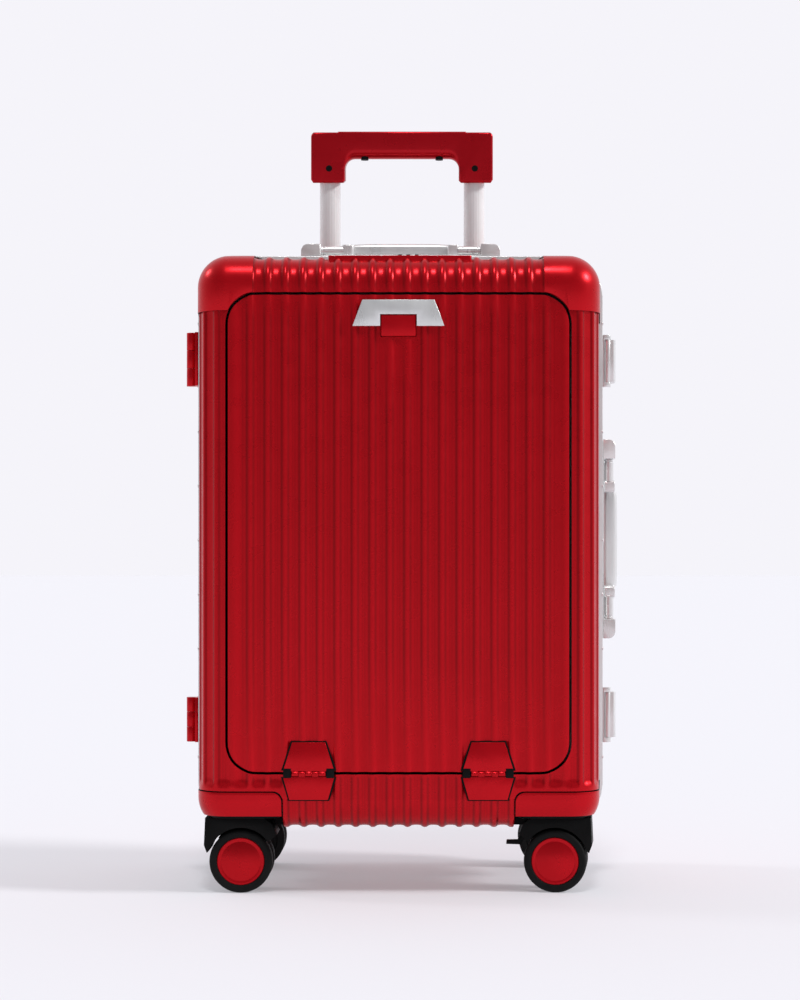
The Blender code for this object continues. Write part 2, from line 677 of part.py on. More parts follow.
def pocket_tray(paint):
    """The tray behind the door that keeps the pocket apart from the main compartment."""
    front = -FRONT_DEPTH + RIB_DEPTH + SHELL_WALL + 0.003
    back = front + POCKET_DEPTH
    low, high = DOOR_BOTTOM - 0.008, DOOR_TOP + 0.006
    half = DOOR_HALF_WIDTH + 0.002
    outline = rounded_rectangle((-half, low), (half, high), POCKET_CORNER, 4)
    tray = new_object("pocket_tray", prism(outline, "Y", front, back), paint)
    wall = POCKET_WALL
    inner = rounded_rectangle((-half + wall, low + wall), (half - wall, high - wall), POCKET_CORNER - wall, 4)
    return cut(tray, prism(inner, "Y", front - 0.01, back - wall))


# ---------------------------------------------------------------- combination lock

def lock_plate(paint):
    """A raised strip on the front shell's top edge, with a slot for each dial."""
    low = (LOCK_X[0], LOCK_Y[0], LOCK_TOP - LOCK_HEIGHT)
    plate = new_object("lock_plate", box(low, (LOCK_X[1], LOCK_Y[1], LOCK_TOP)), paint)
    y = (LOCK_Y[0] + LOCK_Y[1]) / 2
    for x in DIAL_X:
        half = DIAL_WIDTH / 2 + GAP
        reach = DIAL_RADIUS + 2 * GAP
        slot_low = LOCK_TOP - DIAL_SLOT_DEPTH
        cut(plate, box((x - half, y - reach, slot_low), (x + half, y + reach, LOCK_TOP + 0.01)))
    return plate


def dial(index, x, paint):
    bm = cylinder((0, 0, 0), DIAL_RADIUS, DIAL_WIDTH, "X", 20)
    made = new_object(f"dial_{index}", bm, paint)
    y = (LOCK_Y[0] + LOCK_Y[1]) / 2
    axis = pivot(f"dial_{index}_axis", (x, y, LOCK_TOP - DIAL_SINK))
    return place_on(made, axis)


# ---------------------------------------------------------------- trolley

def trolley_bezel(paint):
    """The plate in the rear shell's top that the tubes slide through."""
    low = (-TUBE_X - BEZEL_MARGIN, TROLLEY_Y - BEZEL_HALF_DEPTH, BEZEL_BOTTOM)
    high = (TUBE_X + BEZEL_MARGIN, TROLLEY_Y + BEZEL_HALF_DEPTH, BEZEL_TOP)
    bezel = new_object("trolley_bezel", box(low, high), paint)
    for x in (-TUBE_X, TUBE_X):
        cut(bezel, cylinder((x, TROLLEY_Y, SHELL_TOP), TUBE_RADIUS + TUBE_CLEARANCE, 0.04, "Z", 28))
    return bezel


def outer_tube(name, x, paint):
    top = BEZEL_BOTTOM - GAP
    bottom = HOUSING_BOTTOM + HOUSING_WALL + 0.0008
    length = top - bottom
    middle = (x, TROLLEY_Y, bottom + length / 2)
    tube = new_object(name, cylinder(middle, OUTER_TUBE_OUTER, length, "Z", 24), paint)
    return cut(tube, cylinder(middle, OUTER_TUBE_INNER, length + 0.02, "Z", 24))


def trolley_housing(paint):
    """The cover that closes the tubes off from the inside of the case, open to the back and the top."""
    y = TROLLEY_Y - OUTER_TUBE_OUTER - 0.0030
    top = BEZEL_BOTTOM - HOUSING_WALL
    wall, deep, half = HOUSING_WALL, HOUSING_REAR, HOUSING_HALF_WIDTH
    housing = new_object("trolley_housing", box((-half, y, HOUSING_BOTTOM), (half, deep, top)), paint)
    inner_low = (-half + wall, y + wall, HOUSING_BOTTOM + wall)
    return cut(housing, box(inner_low, (half - wall, deep + 0.01, top + 0.01)))


def inner_tube(name, x, paint):
    top = GRIP_LEG_BOTTOM + TUBE_IN_GRIP
    middle = (x, TROLLEY_Y, (TUBE_BOTTOM + top) / 2)
    tube = new_object(name, cylinder(middle, TUBE_RADIUS, top - TUBE_BOTTOM, "Z", 24), paint)
    hollow_top = top - 0.0567
    hollow = (x, TROLLEY_Y, hollow_top - TUBE_LENGTH / 2)
    return cut(tube, cylinder(hollow, TUBE_RADIUS - TUBE_WALL, TUBE_LENGTH, "Z", 24))


def grip(paint):
    """The trolley's handle: a bar on two legs, hollow where the tubes and the button go in."""
    half, leg = GRIP_HALF_WIDTH, GRIP_LEG_WIDTH
    fillet = GRIP_FILLET
    outline = [(-half, GRIP_LEG_BOTTOM), (-half + leg, GRIP_LEG_BOTTOM)]
    outline += arc((-half + leg + fillet, GRIP_BAR_BOTTOM - fillet), fillet, 180, 90, 5)
    outline += arc((half - leg - fillet, GRIP_BAR_BOTTOM - fillet), fillet, 90, 0, 5)
    outline += [(half - leg, GRIP_LEG_BOTTOM), (half, GRIP_LEG_BOTTOM)]
    outline += arc((half - GRIP_CORNER, GRIP_TOP - GRIP_CORNER), GRIP_CORNER, 0, 90, 4)
    outline += arc((-half + GRIP_CORNER, GRIP_TOP - GRIP_CORNER), GRIP_CORNER, 90, 180, 4)
    y_low, y_high = TROLLEY_Y - GRIP_DEPTH / 2, TROLLEY_Y + GRIP_DEPTH / 2
    made = new_object("trolley_grip", prism(outline, "Y", y_low, y_high), paint)
    for x in (-TUBE_X, TUBE_X):
        cut(made, cylinder((x, TROLLEY_Y, GRIP_LEG_BOTTOM + 0.0045), TUBE_RADIUS + GAP, 0.0285, "Z", 24))
    length = BUTTON_HALF_LENGTH + GAP
    depth = BUTTON_HALF_DEPTH + GAP
    pocket_low = (-length, TROLLEY_Y - depth, GRIP_TOP - 0.010)
    cut(made, box(pocket_low, (length, TROLLEY_Y + depth, GRIP_TOP + 0.01)))
    return soften(made, 0.0022, 1, 60)


def grip_button(paint):
    low = (-BUTTON_HALF_LENGTH, TROLLEY_Y - BUTTON_HALF_DEPTH, GRIP_TOP - 0.0060)
    high = (BUTTON_HALF_LENGTH, TROLLEY_Y + BUTTON_HALF_DEPTH, GRIP_TOP + 0.0010)
    return soften(new_object("grip_button", box(low, high), paint), 0.0008, 1)


# ---------------------------------------------------------------- casters

def caster_fork(name, paint, with_brake):
    """The hood with its stem, web and axle, in the caster's own frame: the wheels trail towards +X."""
    centre = (TRAIL, WHEEL_RADIUS)
    reach = WHEEL_RADIUS + 0.0017
    top = FLOOR_OF_CASTER
    outline = [(-0.021, top), (TRAIL + 0.019, top)]
    outline += [(TRAIL + 0.026, top - 0.005), (TRAIL + 0.0305, top - 0.014)]
    outline += arc(centre, reach, 35, 162, 12)
    outline += [(-0.0195, WHEEL_RADIUS + 0.0070), (-0.0220, WHEEL_RADIUS + 0.0135)]
    half = WHEEL_INNER + WHEEL_WIDTH - 0.0008
    fork = new_object(name, prism(outline, "Y", -half, half), paint)
    web = WHEEL_INNER - 0.0008
    low, wide, high = WHEEL_RADIUS - 0.0045, WHEEL_RADIUS + 0.0185, top - 0.0052
    plate = [(TRAIL - 0.020, wide), (TRAIL - 0.009, low), (TRAIL, low - 0.0035), (TRAIL + 0.009, low),
             (TRAIL + 0.020, wide), (TRAIL + 0.010, high), (TRAIL - 0.010, high)]
    join(fork, prism(plate, "Y", -web, web))
    pin = WHEEL_INNER + WHEEL_WIDTH - 0.003
    join(fork, cylinder((TRAIL, 0, WHEEL_RADIUS), AXLE_RADIUS, 2 * pin, "Y", 16))
    join(fork, cylinder((0, 0, top + 0.005), STEM_RADIUS, 0.0130, "Z", 20))
    if with_brake:
        x, z = BRAKE_AXIS
        cut(fork, box((x - 0.0035, -BRAKE_HALF - GAP, z - 0.0120), (x + 0.02, BRAKE_HALF + GAP, z + 0.0035)))
        join(fork, cylinder((x, 0, z), BRAKE_PIN, 2 * BRAKE_HALF + 0.003, "Y", 12))
    return fork


def brake_lever(paint):
    """The foot lever that sticks out between the wheels."""
    x, z = BRAKE_AXIS
    outline = [(x - 0.0024, z - 0.0010), (x + 0.0024, z + 0.0020), (x + 0.0068, z - 0.0078),
               (x + 0.0160, z - 0.0080), (x + 0.0162, z - 0.0112), (x + 0.0040, z - 0.0114)]
    lever = new_object("caster_brake_lever", prism(outline, "Y", -BRAKE_HALF, BRAKE_HALF), paint)
    join(lever, cylinder((x, 0, z), BRAKE_BARREL, 2 * BRAKE_HALF, "Y", 14))
    return cut(lever, cylinder((x, 0, z), BRAKE_PIN + GAP, 0.02, "Y", 12))


def caster_wheel(name, paint, side):
    """A wheel with a rounded tread and a blind bore, about the Y axis through its own origin."""
    inner, outer = WHEEL_INNER, WHEEL_INNER + WHEEL_WIDTH
    r = WHEEL_RADIUS
    bore = AXLE_RADIUS + GAP
    deep = outer - 0.0022
    profile = [(0.0, outer), (r - 0.003, outer), (r - 0.0008, outer - 0.0020),
               (r, outer - 0.0050), (r, inner + 0.0035), (r - 0.0025, inner),
               (bore, inner), (bore, deep), (0.0, deep)]
    wheel = turned(name, profile, paint, "Z", 24)
    turn = Matrix.Rotation(-side * math.pi / 2, 4, "X")
    wheel.data.transform(turn)
    return wheel


def caster(corner, x, side, black, tyre):
    """A twin-wheel caster on its swivel axis, turned by a few degrees where it has rolled so."""
    turn = (math.pi if x > 0 else 0.0) + math.radians(SWIVELS[corner])
    axis = pivot(f"caster_{corner}_swivel", (x * PIVOT_X, side * PIVOT_Y, 0), turn=(0, 0, turn))
    braked = corner == "front_right"
    place_on(caster_fork(f"caster_{corner}_fork", black, braked), axis)
    if braked:
        place_on(brake_lever(black), axis)
    for label, wheel_side in (("wheel_a", -1), ("wheel_b", 1)):
        wheel = caster_wheel(f"caster_{corner}_{label}", tyre, wheel_side)
        wheel.location = (TRAIL, 0, WHEEL_RADIUS)
        place_on(wheel, axis)


# ---------------------------------------------------------------- assembly

def main():
    clear_scene()
    red = material("shell_red", (0.33, 0.006, 0.012), 0.38, 0.3)
    silver = material("silver", (0.62, 0.62, 0.62), 0.35, 0.9)
    frame_metal = material("frame_aluminium", (0.70, 0.70, 0.71), 0.3, 1.0)
    black = material("black_plastic", (0.015, 0.015, 0.016), 0.5)
    tyre = material("tyre", (0.012, 0.012, 0.012), 0.6)
    rubber = material("gasket", (0.02, 0.02, 0.02), 0.8)
    lining = material("lining", (0.05, 0.05, 0.055), 0.8)

    front_shell = half_shell("front_shell", -1, FRONT_DEPTH, red)
    rear_shell = half_shell("rear_shell", 1, REAR_DEPTH, red)
    cut(front_shell, *caster_notches(-1, GAP))
    cut(rear_shell, *caster_notches(1, GAP))
    lid = pivot("lid_axis", (SIDE_AXIS_X, 0, 0))
    hang(front_shell, lid)
    frame_ring("rear_frame", 0.0, FRAME_THICKNESS, GAP / 2, FRAME_HALF_DEPTH, frame_metal)
    hang(frame_ring("front_frame", 0.0, FRAME_THICKNESS, -FRAME_HALF_DEPTH, -GAP / 2, frame_metal), lid)
    frame_ring("frame_gasket", -FRAME_THICKNESS - GAP, GASKET_THICKNESS, *GASKET_Y, rubber)
    for label, x in (("left", -1), ("right", 1)):
        hang(bottom_guard(f"front_guard_bottom_{label}", -1, x, FRONT_DEPTH, red), lid)
        hang(top_guard(f"front_guard_top_{label}", -1, x, FRONT_DEPTH, red), lid)
        bottom_guard(f"rear_guard_bottom_{label}", 1, x, REAR_DEPTH, red)
        top_guard(f"rear_guard_top_{label}", 1, x, REAR_DEPTH, red)

    for label, (low, high) in SIDE_HINGES.items():
        side_leaf(f"side_hinge_rear_{label}", low, high, 1, red)
        hang(side_leaf(f"side_hinge_front_{label}", low, high, -1, red), lid)
    for label, (low, high) in LATCHES.items():
        latch_keeper(f"latch_keeper_{label}", low, high, silver)
        hang(latch_base(f"latch_base_{label}", low, high, silver), lid)
        axis = pivot(f"latch_{label}_axis", (*LATCH_AXIS, (low + high) / 2), lid)
        hang(latch_lever(f"latch_lever_{label}", low, high, silver), axis)

    top_axis = pivot("top_handle_axis", (0, 0, FRAME_TOP + GAP))
    side_place = (FRAME_HALF_WIDTH + GAP, 0, SIDE_HANDLE_Z)
    side_axis = pivot("side_handle_axis", side_place, turn=(0, math.pi / 2, 0))
    for label, axis in (("top", top_axis), ("side", side_axis)):
        place_on(handle_base(f"{label}_handle_base", silver), axis)
        place_on(carry_handle(f"{label}_handle", silver), axis)

    panel, plate, push = door(red, silver, front_shell)
    door_axis = pivot("door_axis", (0, DOOR_AXIS_Y, DOOR_BOTTOM), lid)
    for piece in (panel, plate, push):
        hang(piece, door_axis)
    for label, x in (("left", -HINGE_X), ("right", HINGE_X)):
        hang(door_leaf(f"door_hinge_upper_{label}", x, True, red), door_axis)
        hang(door_leaf(f"door_hinge_lower_{label}", x, False, red), lid)
    hang(pocket_tray(lining), lid)

    cut(front_shell, box((LOCK_X[0] - GAP, LOCK_Y[0] - GAP, LOCK_TOP - 0.012),
                         (LOCK_X[1] + GAP, LOCK_Y[1] + GAP, LOCK_TOP + 0.02)))
    hang(lock_plate(red), lid)
    for index, x in enumerate(DIAL_X, 1):
        made = dial(index, x, black)
        hang(made.parent, lid)

    opening_x = TUBE_X + BEZEL_MARGIN + GAP
    opening_y = BEZEL_HALF_DEPTH + GAP
    cut(rear_shell, box((-opening_x, TROLLEY_Y - opening_y, SHELL_TOP - 0.03),
                        (opening_x, TROLLEY_Y + opening_y, SHELL_TOP + 0.02)))
    trolley_bezel(black)
    trolley_housing(lining)
    for label, x in (("left", -TUBE_X), ("right", TUBE_X)):
        outer_tube(f"trolley_outer_tube_{label}", x, frame_metal)
        inner_tube(f"trolley_inner_tube_{label}", x, silver)
    grip(red)
    grip_button(red)

    for label, side in (("front", -1), ("rear", 1)):
        caster(f"{label}_left", -1, side, black, tyre)
        caster(f"{label}_right", 1, side, black, tyre)


main()
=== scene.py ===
"""The looks of a hard-shell cabin case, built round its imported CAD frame."""

import json
import math

import bmesh
import bpy
from mathutils import Matrix, Vector


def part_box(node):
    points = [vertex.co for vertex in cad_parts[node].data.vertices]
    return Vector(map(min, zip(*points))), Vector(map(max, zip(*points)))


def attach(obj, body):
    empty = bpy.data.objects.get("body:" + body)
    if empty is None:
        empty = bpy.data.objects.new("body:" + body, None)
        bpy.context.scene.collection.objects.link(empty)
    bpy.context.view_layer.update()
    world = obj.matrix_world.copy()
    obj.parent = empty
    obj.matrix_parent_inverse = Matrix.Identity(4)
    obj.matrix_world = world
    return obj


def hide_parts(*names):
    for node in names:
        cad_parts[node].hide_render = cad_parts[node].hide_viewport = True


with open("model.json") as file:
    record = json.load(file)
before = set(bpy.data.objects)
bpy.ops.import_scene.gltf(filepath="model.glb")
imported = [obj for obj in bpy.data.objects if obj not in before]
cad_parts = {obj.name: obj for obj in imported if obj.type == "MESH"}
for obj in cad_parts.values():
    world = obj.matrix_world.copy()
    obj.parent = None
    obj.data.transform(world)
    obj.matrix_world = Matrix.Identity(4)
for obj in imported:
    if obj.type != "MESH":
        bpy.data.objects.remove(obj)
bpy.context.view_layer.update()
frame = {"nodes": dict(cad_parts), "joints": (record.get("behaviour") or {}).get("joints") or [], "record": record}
NODES = frame["nodes"]
RECORD = frame["record"]
SLOT_OF = {part["node"]: part["material_slot"] for part in RECORD["subparts"]}


# ---------------------------------------------------------------- materials

class Shader:
    """One material's node tree, with short calls for the nodes that are used here."""

    def __init__(self, name, colour, roughness, metallic=0.0, **sockets):
        self.material = bpy.data.materials.new(name)
        self.material.use_nodes = True
        self.tree = self.material.node_tree
        self.surface = self.tree.nodes["Principled BSDF"]
        self.set("Base Color", (*colour, 1.0))
        self.set("Roughness", roughness)
        self.set("Metallic", metallic)
        for socket, value in sockets.items():
            self.set(socket.replace("_", " "), value)

    def set(self, socket, value):
        self.surface.inputs[socket].default_value = value

    def node(self, kind, **inputs):
        made = self.tree.nodes.new(kind)
        for key, value in inputs.items():
            self.feed(made, key.replace("_", " "), value)
        return made

    def feed(self, node, key, value):
        socket = node.inputs[int(key[1:])] if key[0] == "i" and key[1:].isdigit() else node.inputs[key]
        if isinstance(value, bpy.types.NodeSocket):
            self.tree.links.new(value, socket)
        else:
            socket.default_value = value

    def place(self, scale=(1, 1, 1)):
        """Object coordinates in metres, times scale."""
        coords = self.tree.nodes.new("ShaderNodeTexCoord")
        return self.node("ShaderNodeMapping", Vector=coords.outputs["Object"], Scale=scale).outputs[0]

    def noise(self, scale, detail=2.0, stretch=(1, 1, 1)):
        made = self.node("ShaderNodeTexNoise", Vector=self.place(stretch), Scale=scale, Detail=detail)
        return made.outputs["Fac"]

    def cells(self, scale):
        made = self.node("ShaderNodeTexVoronoi", Vector=self.place(), Scale=scale)
        return made.outputs["Distance"]

    def combine(self, kind, operation, first, second):
        made = self.node(kind, i0=first, i1=second)
        made.operation = operation
        return made.outputs[0]

    def ramp(self, factor, low, high, start=0.0, end=1.0):
        """A colour or a grey that runs from low to high while factor runs from start to end."""
        made = self.node("ShaderNodeValToRGB", Fac=factor)
        ends = made.color_ramp.elements
        ends[0].position = start
        ends[1].position = end
        for element, value in zip(ends, (low, high)):
            element.color = (*value, 1.0) if isinstance(value, tuple) else (value, value, value, 1.0)
        return made.outputs["Color"]

    def bump(self, height, distance, strength=1.0, under=None):
        made = self.node("ShaderNodeBump", Height=height, Distance=distance, Strength=strength)
        if under is not None:
            self.feed(made, "Normal", under)
        return made.outputs["Normal"]

    def use(self, **links):
        for socket, value in links.items():
            self.feed(self.surface, socket.replace("_", " "), value)
        return self.material


def painted_shell(name, deep, light):
    """Satin moulded paint: slow colour drift, a leathery grain, and painted shade that darkens the hollows beside
    the ribs.
    """
    made = Shader(name, deep, 0.34, 0.6, Specular_IOR_Level=0.25, Coat_Weight=0.03, Coat_Roughness=0.2)
    drift = made.ramp(made.noise(9.0, 3.0), deep, light, 0.35, 0.72)
    # painted shade: a per-vertex mask darkens the base colour to 0.55 of itself in the hollows beside the ribs
    crease_shade = made.tree.nodes.new("ShaderNodeAttribute")
    crease_shade.attribute_name = "crease_shade"
    painted_crease_shade = made.ramp(crease_shade.outputs["Fac"], (1.0,) * 3, (0.55,) * 3)
    colour = made.combine("ShaderNodeVectorMath", "MULTIPLY", drift, painted_crease_shade)
    rough = made.ramp(made.noise(60.0, 4.0), 0.25, 0.33, 0.3, 0.7)
    grain = made.bump(made.cells(1500.0), 0.00005, 0.12)
    wave = made.bump(made.noise(420.0, 2.0), 0.00006, 0.16, grain)
    return made.use(Base_Color=colour, Roughness=rough, Normal=wave)


def cast_metal(name, tone, roughness, stretch, metallic=0.5):
    """Satin metal with a brushed drift along one direction."""
    made = Shader(name, (tone, tone, tone), roughness, metallic)
    brush = made.noise(60.0, 4.0, stretch)
    shade = made.ramp(brush, (tone * 0.93,) * 3, (min(tone * 1.05, 1.0),) * 3, 0.35, 0.65)
    rough = made.ramp(brush, roughness - 0.05, roughness + 0.06, 0.3, 0.7)
    return made.use(Base_Color=shade, Roughness=rough, Normal=made.bump(brush, 0.00003, 0.3))


def dark_plastic(name, tone, roughness):
    """Textured black moulding."""
    made = Shader(name, (tone, tone, tone * 1.05), roughness, Specular_IOR_Level=0.08)
    shade = made.ramp(made.noise(30.0, 3.0), (tone * 0.8,) * 3, (tone * 1.3,) * 3, 0.3, 0.7)
    rough = made.ramp(made.noise(90.0, 3.0), roughness - 0.06, roughness + 0.08, 0.3, 0.7)
    return made.use(Base_Color=shade, Roughness=rough, Normal=made.bump(made.cells(1700.0), 0.00008, 0.4))


def rubber(name, tone):
    made = Shader(name, (tone,) * 3, 0.62, Specular_IOR_Level=0.15)
    scuff = made.noise(140.0, 5.0)
    shade = made.ramp(scuff, (tone * 0.8,) * 3, (tone * 1.8,) * 3, 0.35, 0.75)
    rough = made.ramp(scuff, 0.5, 0.75, 0.3, 0.7)
    return made.use(Base_Color=shade, Roughness=rough, Normal=made.bump(scuff, 0.00012, 0.35))


def woven(name, dark, light, pitch):
    """Plain weave: two crossing sets of threads, in all three directions of the object's space."""
    made = Shader(name, dark, 0.85, Sheen_Weight=0.25, Sheen_Roughness=0.5)
    waves = []
    for axis in ("X", "Y", "Z"):
        wave = made.node("ShaderNodeTexWave", Vector=made.place(), Scale=1.0 / pitch / 3.14159)
        wave.bands_direction = axis
        waves.append(wave.outputs["Fac"])
    first = made.combine("ShaderNodeMath", "MAXIMUM", waves[0], waves[1])
    both = made.combine("ShaderNodeMath", "ADD", first, waves[2])
    threads = made.combine("ShaderNodeMath", "MULTIPLY", both, 0.5)
    shade = made.ramp(threads, dark, light, 0.2, 0.95)
    return made.use(Base_Color=shade, Normal=made.bump(threads, 0.0002, 0.6))


DEEP_RED = (0.510, 0.0014, 0.0070)
LIGHT_RED = (0.545, 0.0017, 0.0085)
PAINT = {
    "shell_red": painted_shell("shell_red", DEEP_RED, LIGHT_RED),
    "grip_red": painted_shell("grip_red", (0.42, 0.0020, 0.008), (0.46, 0.0026, 0.010)),
    "silver": cast_metal("silver", 0.75, 0.30, (1, 1, 0.15)),
    "tube_silver": cast_metal("tube_silver", 0.86, 0.22, (1, 1, 0.05), 0.2),
    "frame_aluminium": cast_metal("frame_aluminium", 0.74, 0.32, (0.3, 3, 0.3)),
    "black_plastic": dark_plastic("black_plastic", 0.005, 0.42),
    "tyre": rubber("tyre", 0.005),
    "gasket": rubber("gasket", 0.02),
    "lining": woven("lining", (0.020, 0.020, 0.023), (0.055, 0.055, 0.060), 0.0011),
}


def paint(piece, slot):
    piece.data.materials.clear()
    piece.data.materials.append(PAINT[slot])


for node_name, node in NODES.items():
    paint(node, SLOT_OF[node_name])


# ---------------------------------------------------------------- mesh helpers

MM = 0.001
BLACK = "black_plastic"


def linked(name, data):
    """A new object in the scene."""
    made = bpy.data.objects.new(name, data)
    bpy.context.scene.collection.objects.link(made)
    return made


def from_bmesh(name, bm, slot_name, sharp=35.0):
    """A shaded mesh object in the named slot's paint."""
    mesh = bpy.data.meshes.new(name)
    bm.to_mesh(mesh)
    bm.free()
    made = linked(name, mesh)
    mesh.materials.append(PAINT[slot_name])
    smooth(made, sharp)
    return made


def smooth(piece, sharp=35.0):
    piece.data.shade_smooth()
    piece.data.set_sharp_from_angle(angle=math.radians(sharp))


def apply_modifiers(piece):
    graph = bpy.context.evaluated_depsgraph_get()
    graph.update()
    made = bpy.data.meshes.new_from_object(piece.evaluated_get(graph))
    piece.modifiers.clear()
    piece.data = made


def boolean(piece, cutter, operation="DIFFERENCE"):
    modifier = piece.modifiers.new("cut", "BOOLEAN")
    modifier.operation = operation
    modifier.object = cutter
    modifier.solver = "EXACT"
    modifier.material_mode = "TRANSFER"
    apply_modifiers(piece)
    bpy.data.objects.remove(cutter)


def bevel(piece, width, segments=2, angle=40.0):
    modifier = piece.modifiers.new("bevel", "BEVEL")
    modifier.width = width
    modifier.segments = segments
    modifier.limit_method = "ANGLE"
    modifier.angle_limit = math.radians(angle)
    apply_modifiers(piece)
    smooth(piece)
    return piece


def arc(centre, radius, start, end, steps):
    angles = [math.radians(start + (end - start) * i / steps) for i in range(steps + 1)]
    return [(centre[0] + radius * math.cos(a), centre[1] + radius * math.sin(a)) for a in angles]


def turn_outward(bm):
    bmesh.ops.recalc_face_normals(bm, faces=bm.faces)


def ordered(sign, near, far):
    """The ends of a span on one side of the middle, the lower one first."""
    return sorted((sign * near, sign * far))


def rectangle(low, high):
    """A rectangle's outline, anticlockwise from its low corner."""
    return [(low[0], low[1]), (high[0], low[1]), (high[0], high[1]), (low[0], high[1])]


def rounded(low, high, radius, steps=8):
    """A rounded rectangle's outline, anticlockwise."""
    points = []
    for x, y, start in ((high[0], high[1], 0), (low[0], high[1], 90),
                        (low[0], low[1], 180), (high[0], low[1], 270)):
        cx = x - radius if x == high[0] else x + radius
        cy = y - radius if y == high[1] else y + radius
        points += arc((cx, cy), radius, start, start + 90, steps)
    return points


def prism(name, outline, axis, low, high, slot_name=BLACK):
    """An outline pushed along an axis: (x, z) along Y, (x, y) along Z, (y, z) along X."""
    put = {"X": lambda a, b, c: (c, a, b), "Y": lambda a, b, c: (a, c, b),
           "Z": lambda a, b, c: (a, b, c)}[axis]
    bm = bmesh.new()
    ends = [[bm.verts.new(put(a, b, c)) for a, b in outline] for c in (low, high)]
    bm.faces.new(ends[0])
    bm.faces.new(ends[1][::-1])
    for i in range(len(outline)):
        j = (i + 1) % len(outline)
        bm.faces.new((ends[0][i], ends[1][i], ends[1][j], ends[0][j]))
    turn_outward(bm)
    return from_bmesh(name, bm, slot_name)


def box_piece(name, low, high, slot_name=BLACK):
    return prism(name, rectangle(low, high), "Z", low[2], high[2], slot_name)


def join_rings(bm, rings):
    """Faces between each ring of points and the next."""
    for first, second in zip(rings, rings[1:]):
        for i in range(len(first)):
            j = (i + 1) % len(first)
            bm.faces.new((first[i], first[j], second[j], second[i]))


def cap_rings(bm, rings):
    """A closed tube through the rings, with a face over each end."""
    join_rings(bm, rings)
    bm.faces.new(rings[0][::-1])
    bm.faces.new(rings[-1])
    turn_outward(bm)


def finish_piece(piece, body, slot_name, *nodes):
    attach(piece, body)
    if nodes:
        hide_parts(*nodes)
    return piece


# ---------------------------------------------------------------- ribbed halves

# Sides are -1 for the front half and the left, and 1 for the rear half and the right.
BODY_OF_SIDE = {-1: "lid", 1: "rear_case"}
END = {-1: "front", 1: "rear"}
HAND = {-1: "left", 1: "right"}
# A distance beyond every side of the case, for cutters.
FAR = 0.2

SHELL_LOW, REAR_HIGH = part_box("front_shell")[0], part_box("rear_shell")[1]
FRAME_LOW, FRAME_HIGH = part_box("front_frame")
DOOR_LOW, DOOR_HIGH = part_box("door_panel")
GUARD_LOW, GUARD_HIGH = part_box("front_guard_bottom_right")
CAP_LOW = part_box("front_guard_top_right")[0]
HALF_WIDTH = FRAME_HIGH.x - 3.5 * MM
SKIN_LOW, SKIN_HIGH = FRAME_LOW.z + 3.5 * MM, FRAME_HIGH.z - 3.5 * MM
SKIN_START = 11.3 * MM
DEPTHS = {-1: -SHELL_LOW.y, 1: REAR_HIGH.y}
SIDE_DRAFT, TOP_DRAFT, BOTTOM_DRAFT = 6 * MM, 8.5 * MM, 3.7 * MM
CORNER, EDGE = 32 * MM, 26 * MM
PITCH, RIB_DEPTH, SKIN_WALL = 14.5 * MM, 2.1 * MM, 2.0 * MM
RIBS_END_X = 130.5 * MM
SAMPLES = 16


def ease(value, start, end):
    """0 before start, 1 after end, and smooth between them."""
    t = min(max((value - start) / (end - start), 0.0), 1.0)
    return t * t * (3 - 2 * t)


def rib_dip(distance):
    """How far the skin lies under a rib's crest, at that distance across from the middle of the face."""
    t = abs((distance / PITCH) % 1.0 - 0.5)
    centre_bead = 0.10 * (1.0 - ease(0.5 - t, 0.03, 0.13))
    crown, flank, valley = ease(t, 0.0, 0.12), ease(t, 0.09, 0.25), ease(t, 0.2, 0.5)
    return RIB_DEPTH * (0.10 * crown + 0.62 * flank + 0.28 * valley - centre_bead)


def rib_crease_shade(distance):
    """How much painted shade darkens the paint here: 1 in the hollow beside a rib, and 0 on its crest and in the
    open valley, with fainter painted shade beside the small bead in the valley's middle.
    """
    t = abs((distance / PITCH) % 1.0 - 0.5)
    beside_crest = ease(t, 0.08, 0.17) * (1.0 - ease(t, 0.19, 0.30))
    beside_bead = ease(t, 0.36, 0.42) * (1.0 - ease(t, 0.43, 0.48))
    return beside_crest + 0.35 * beside_bead


def side_stations(depth):
    """(y, share of draft, inset, edge angle, distance across the ribs) from the frame to the face."""
    flat_end = depth - EDGE
    face_half = HALF_WIDTH - SIDE_DRAFT - EDGE
    arc_length = EDGE * math.pi / 2
    flat = flat_end - SKIN_START
    stations = []
    steps = round(flat / PITCH * SAMPLES)
    for i in range(steps):
        y = SKIN_START + flat * i / steps
        stations.append((y, (y - SKIN_START) / flat, 0.0, 0.0, face_half + arc_length + flat_end - y))
    steps = 3 * SAMPLES
    for i in range(steps + 1):
        angle = math.pi / 2 * i / steps
        stations.append((flat_end + EDGE * math.sin(angle), 1.0, EDGE * (1 - math.cos(angle)), angle,
                         face_half + arc_length - EDGE * angle))
    return stations


def rib_columns():
    """The X stations along the top, the bottom and the face."""
    count = round(RIBS_END_X / PITCH) * SAMPLES
    step = RIBS_END_X / count
    inner = [i * step for i in range(-count, count + 1)]
    edge = HALF_WIDTH - SIDE_DRAFT - EDGE
    margin = [RIBS_END_X + (edge - RIBS_END_X) * f for f in (0.25, 0.5, 0.75)]
    return [-x for x in margin[::-1]] + inner + margin


def side_levels(low, high):
    """The Z stations up the sides: close together where the ribs fade out, and far apart elsewhere."""
    fade = [84, 88, 90, 92, 94, 96, 98, 102]
    return [low] + [z * MM for z in fade if low < z * MM < high] + [0.2, 0.3, 0.4, 0.48] + [high]


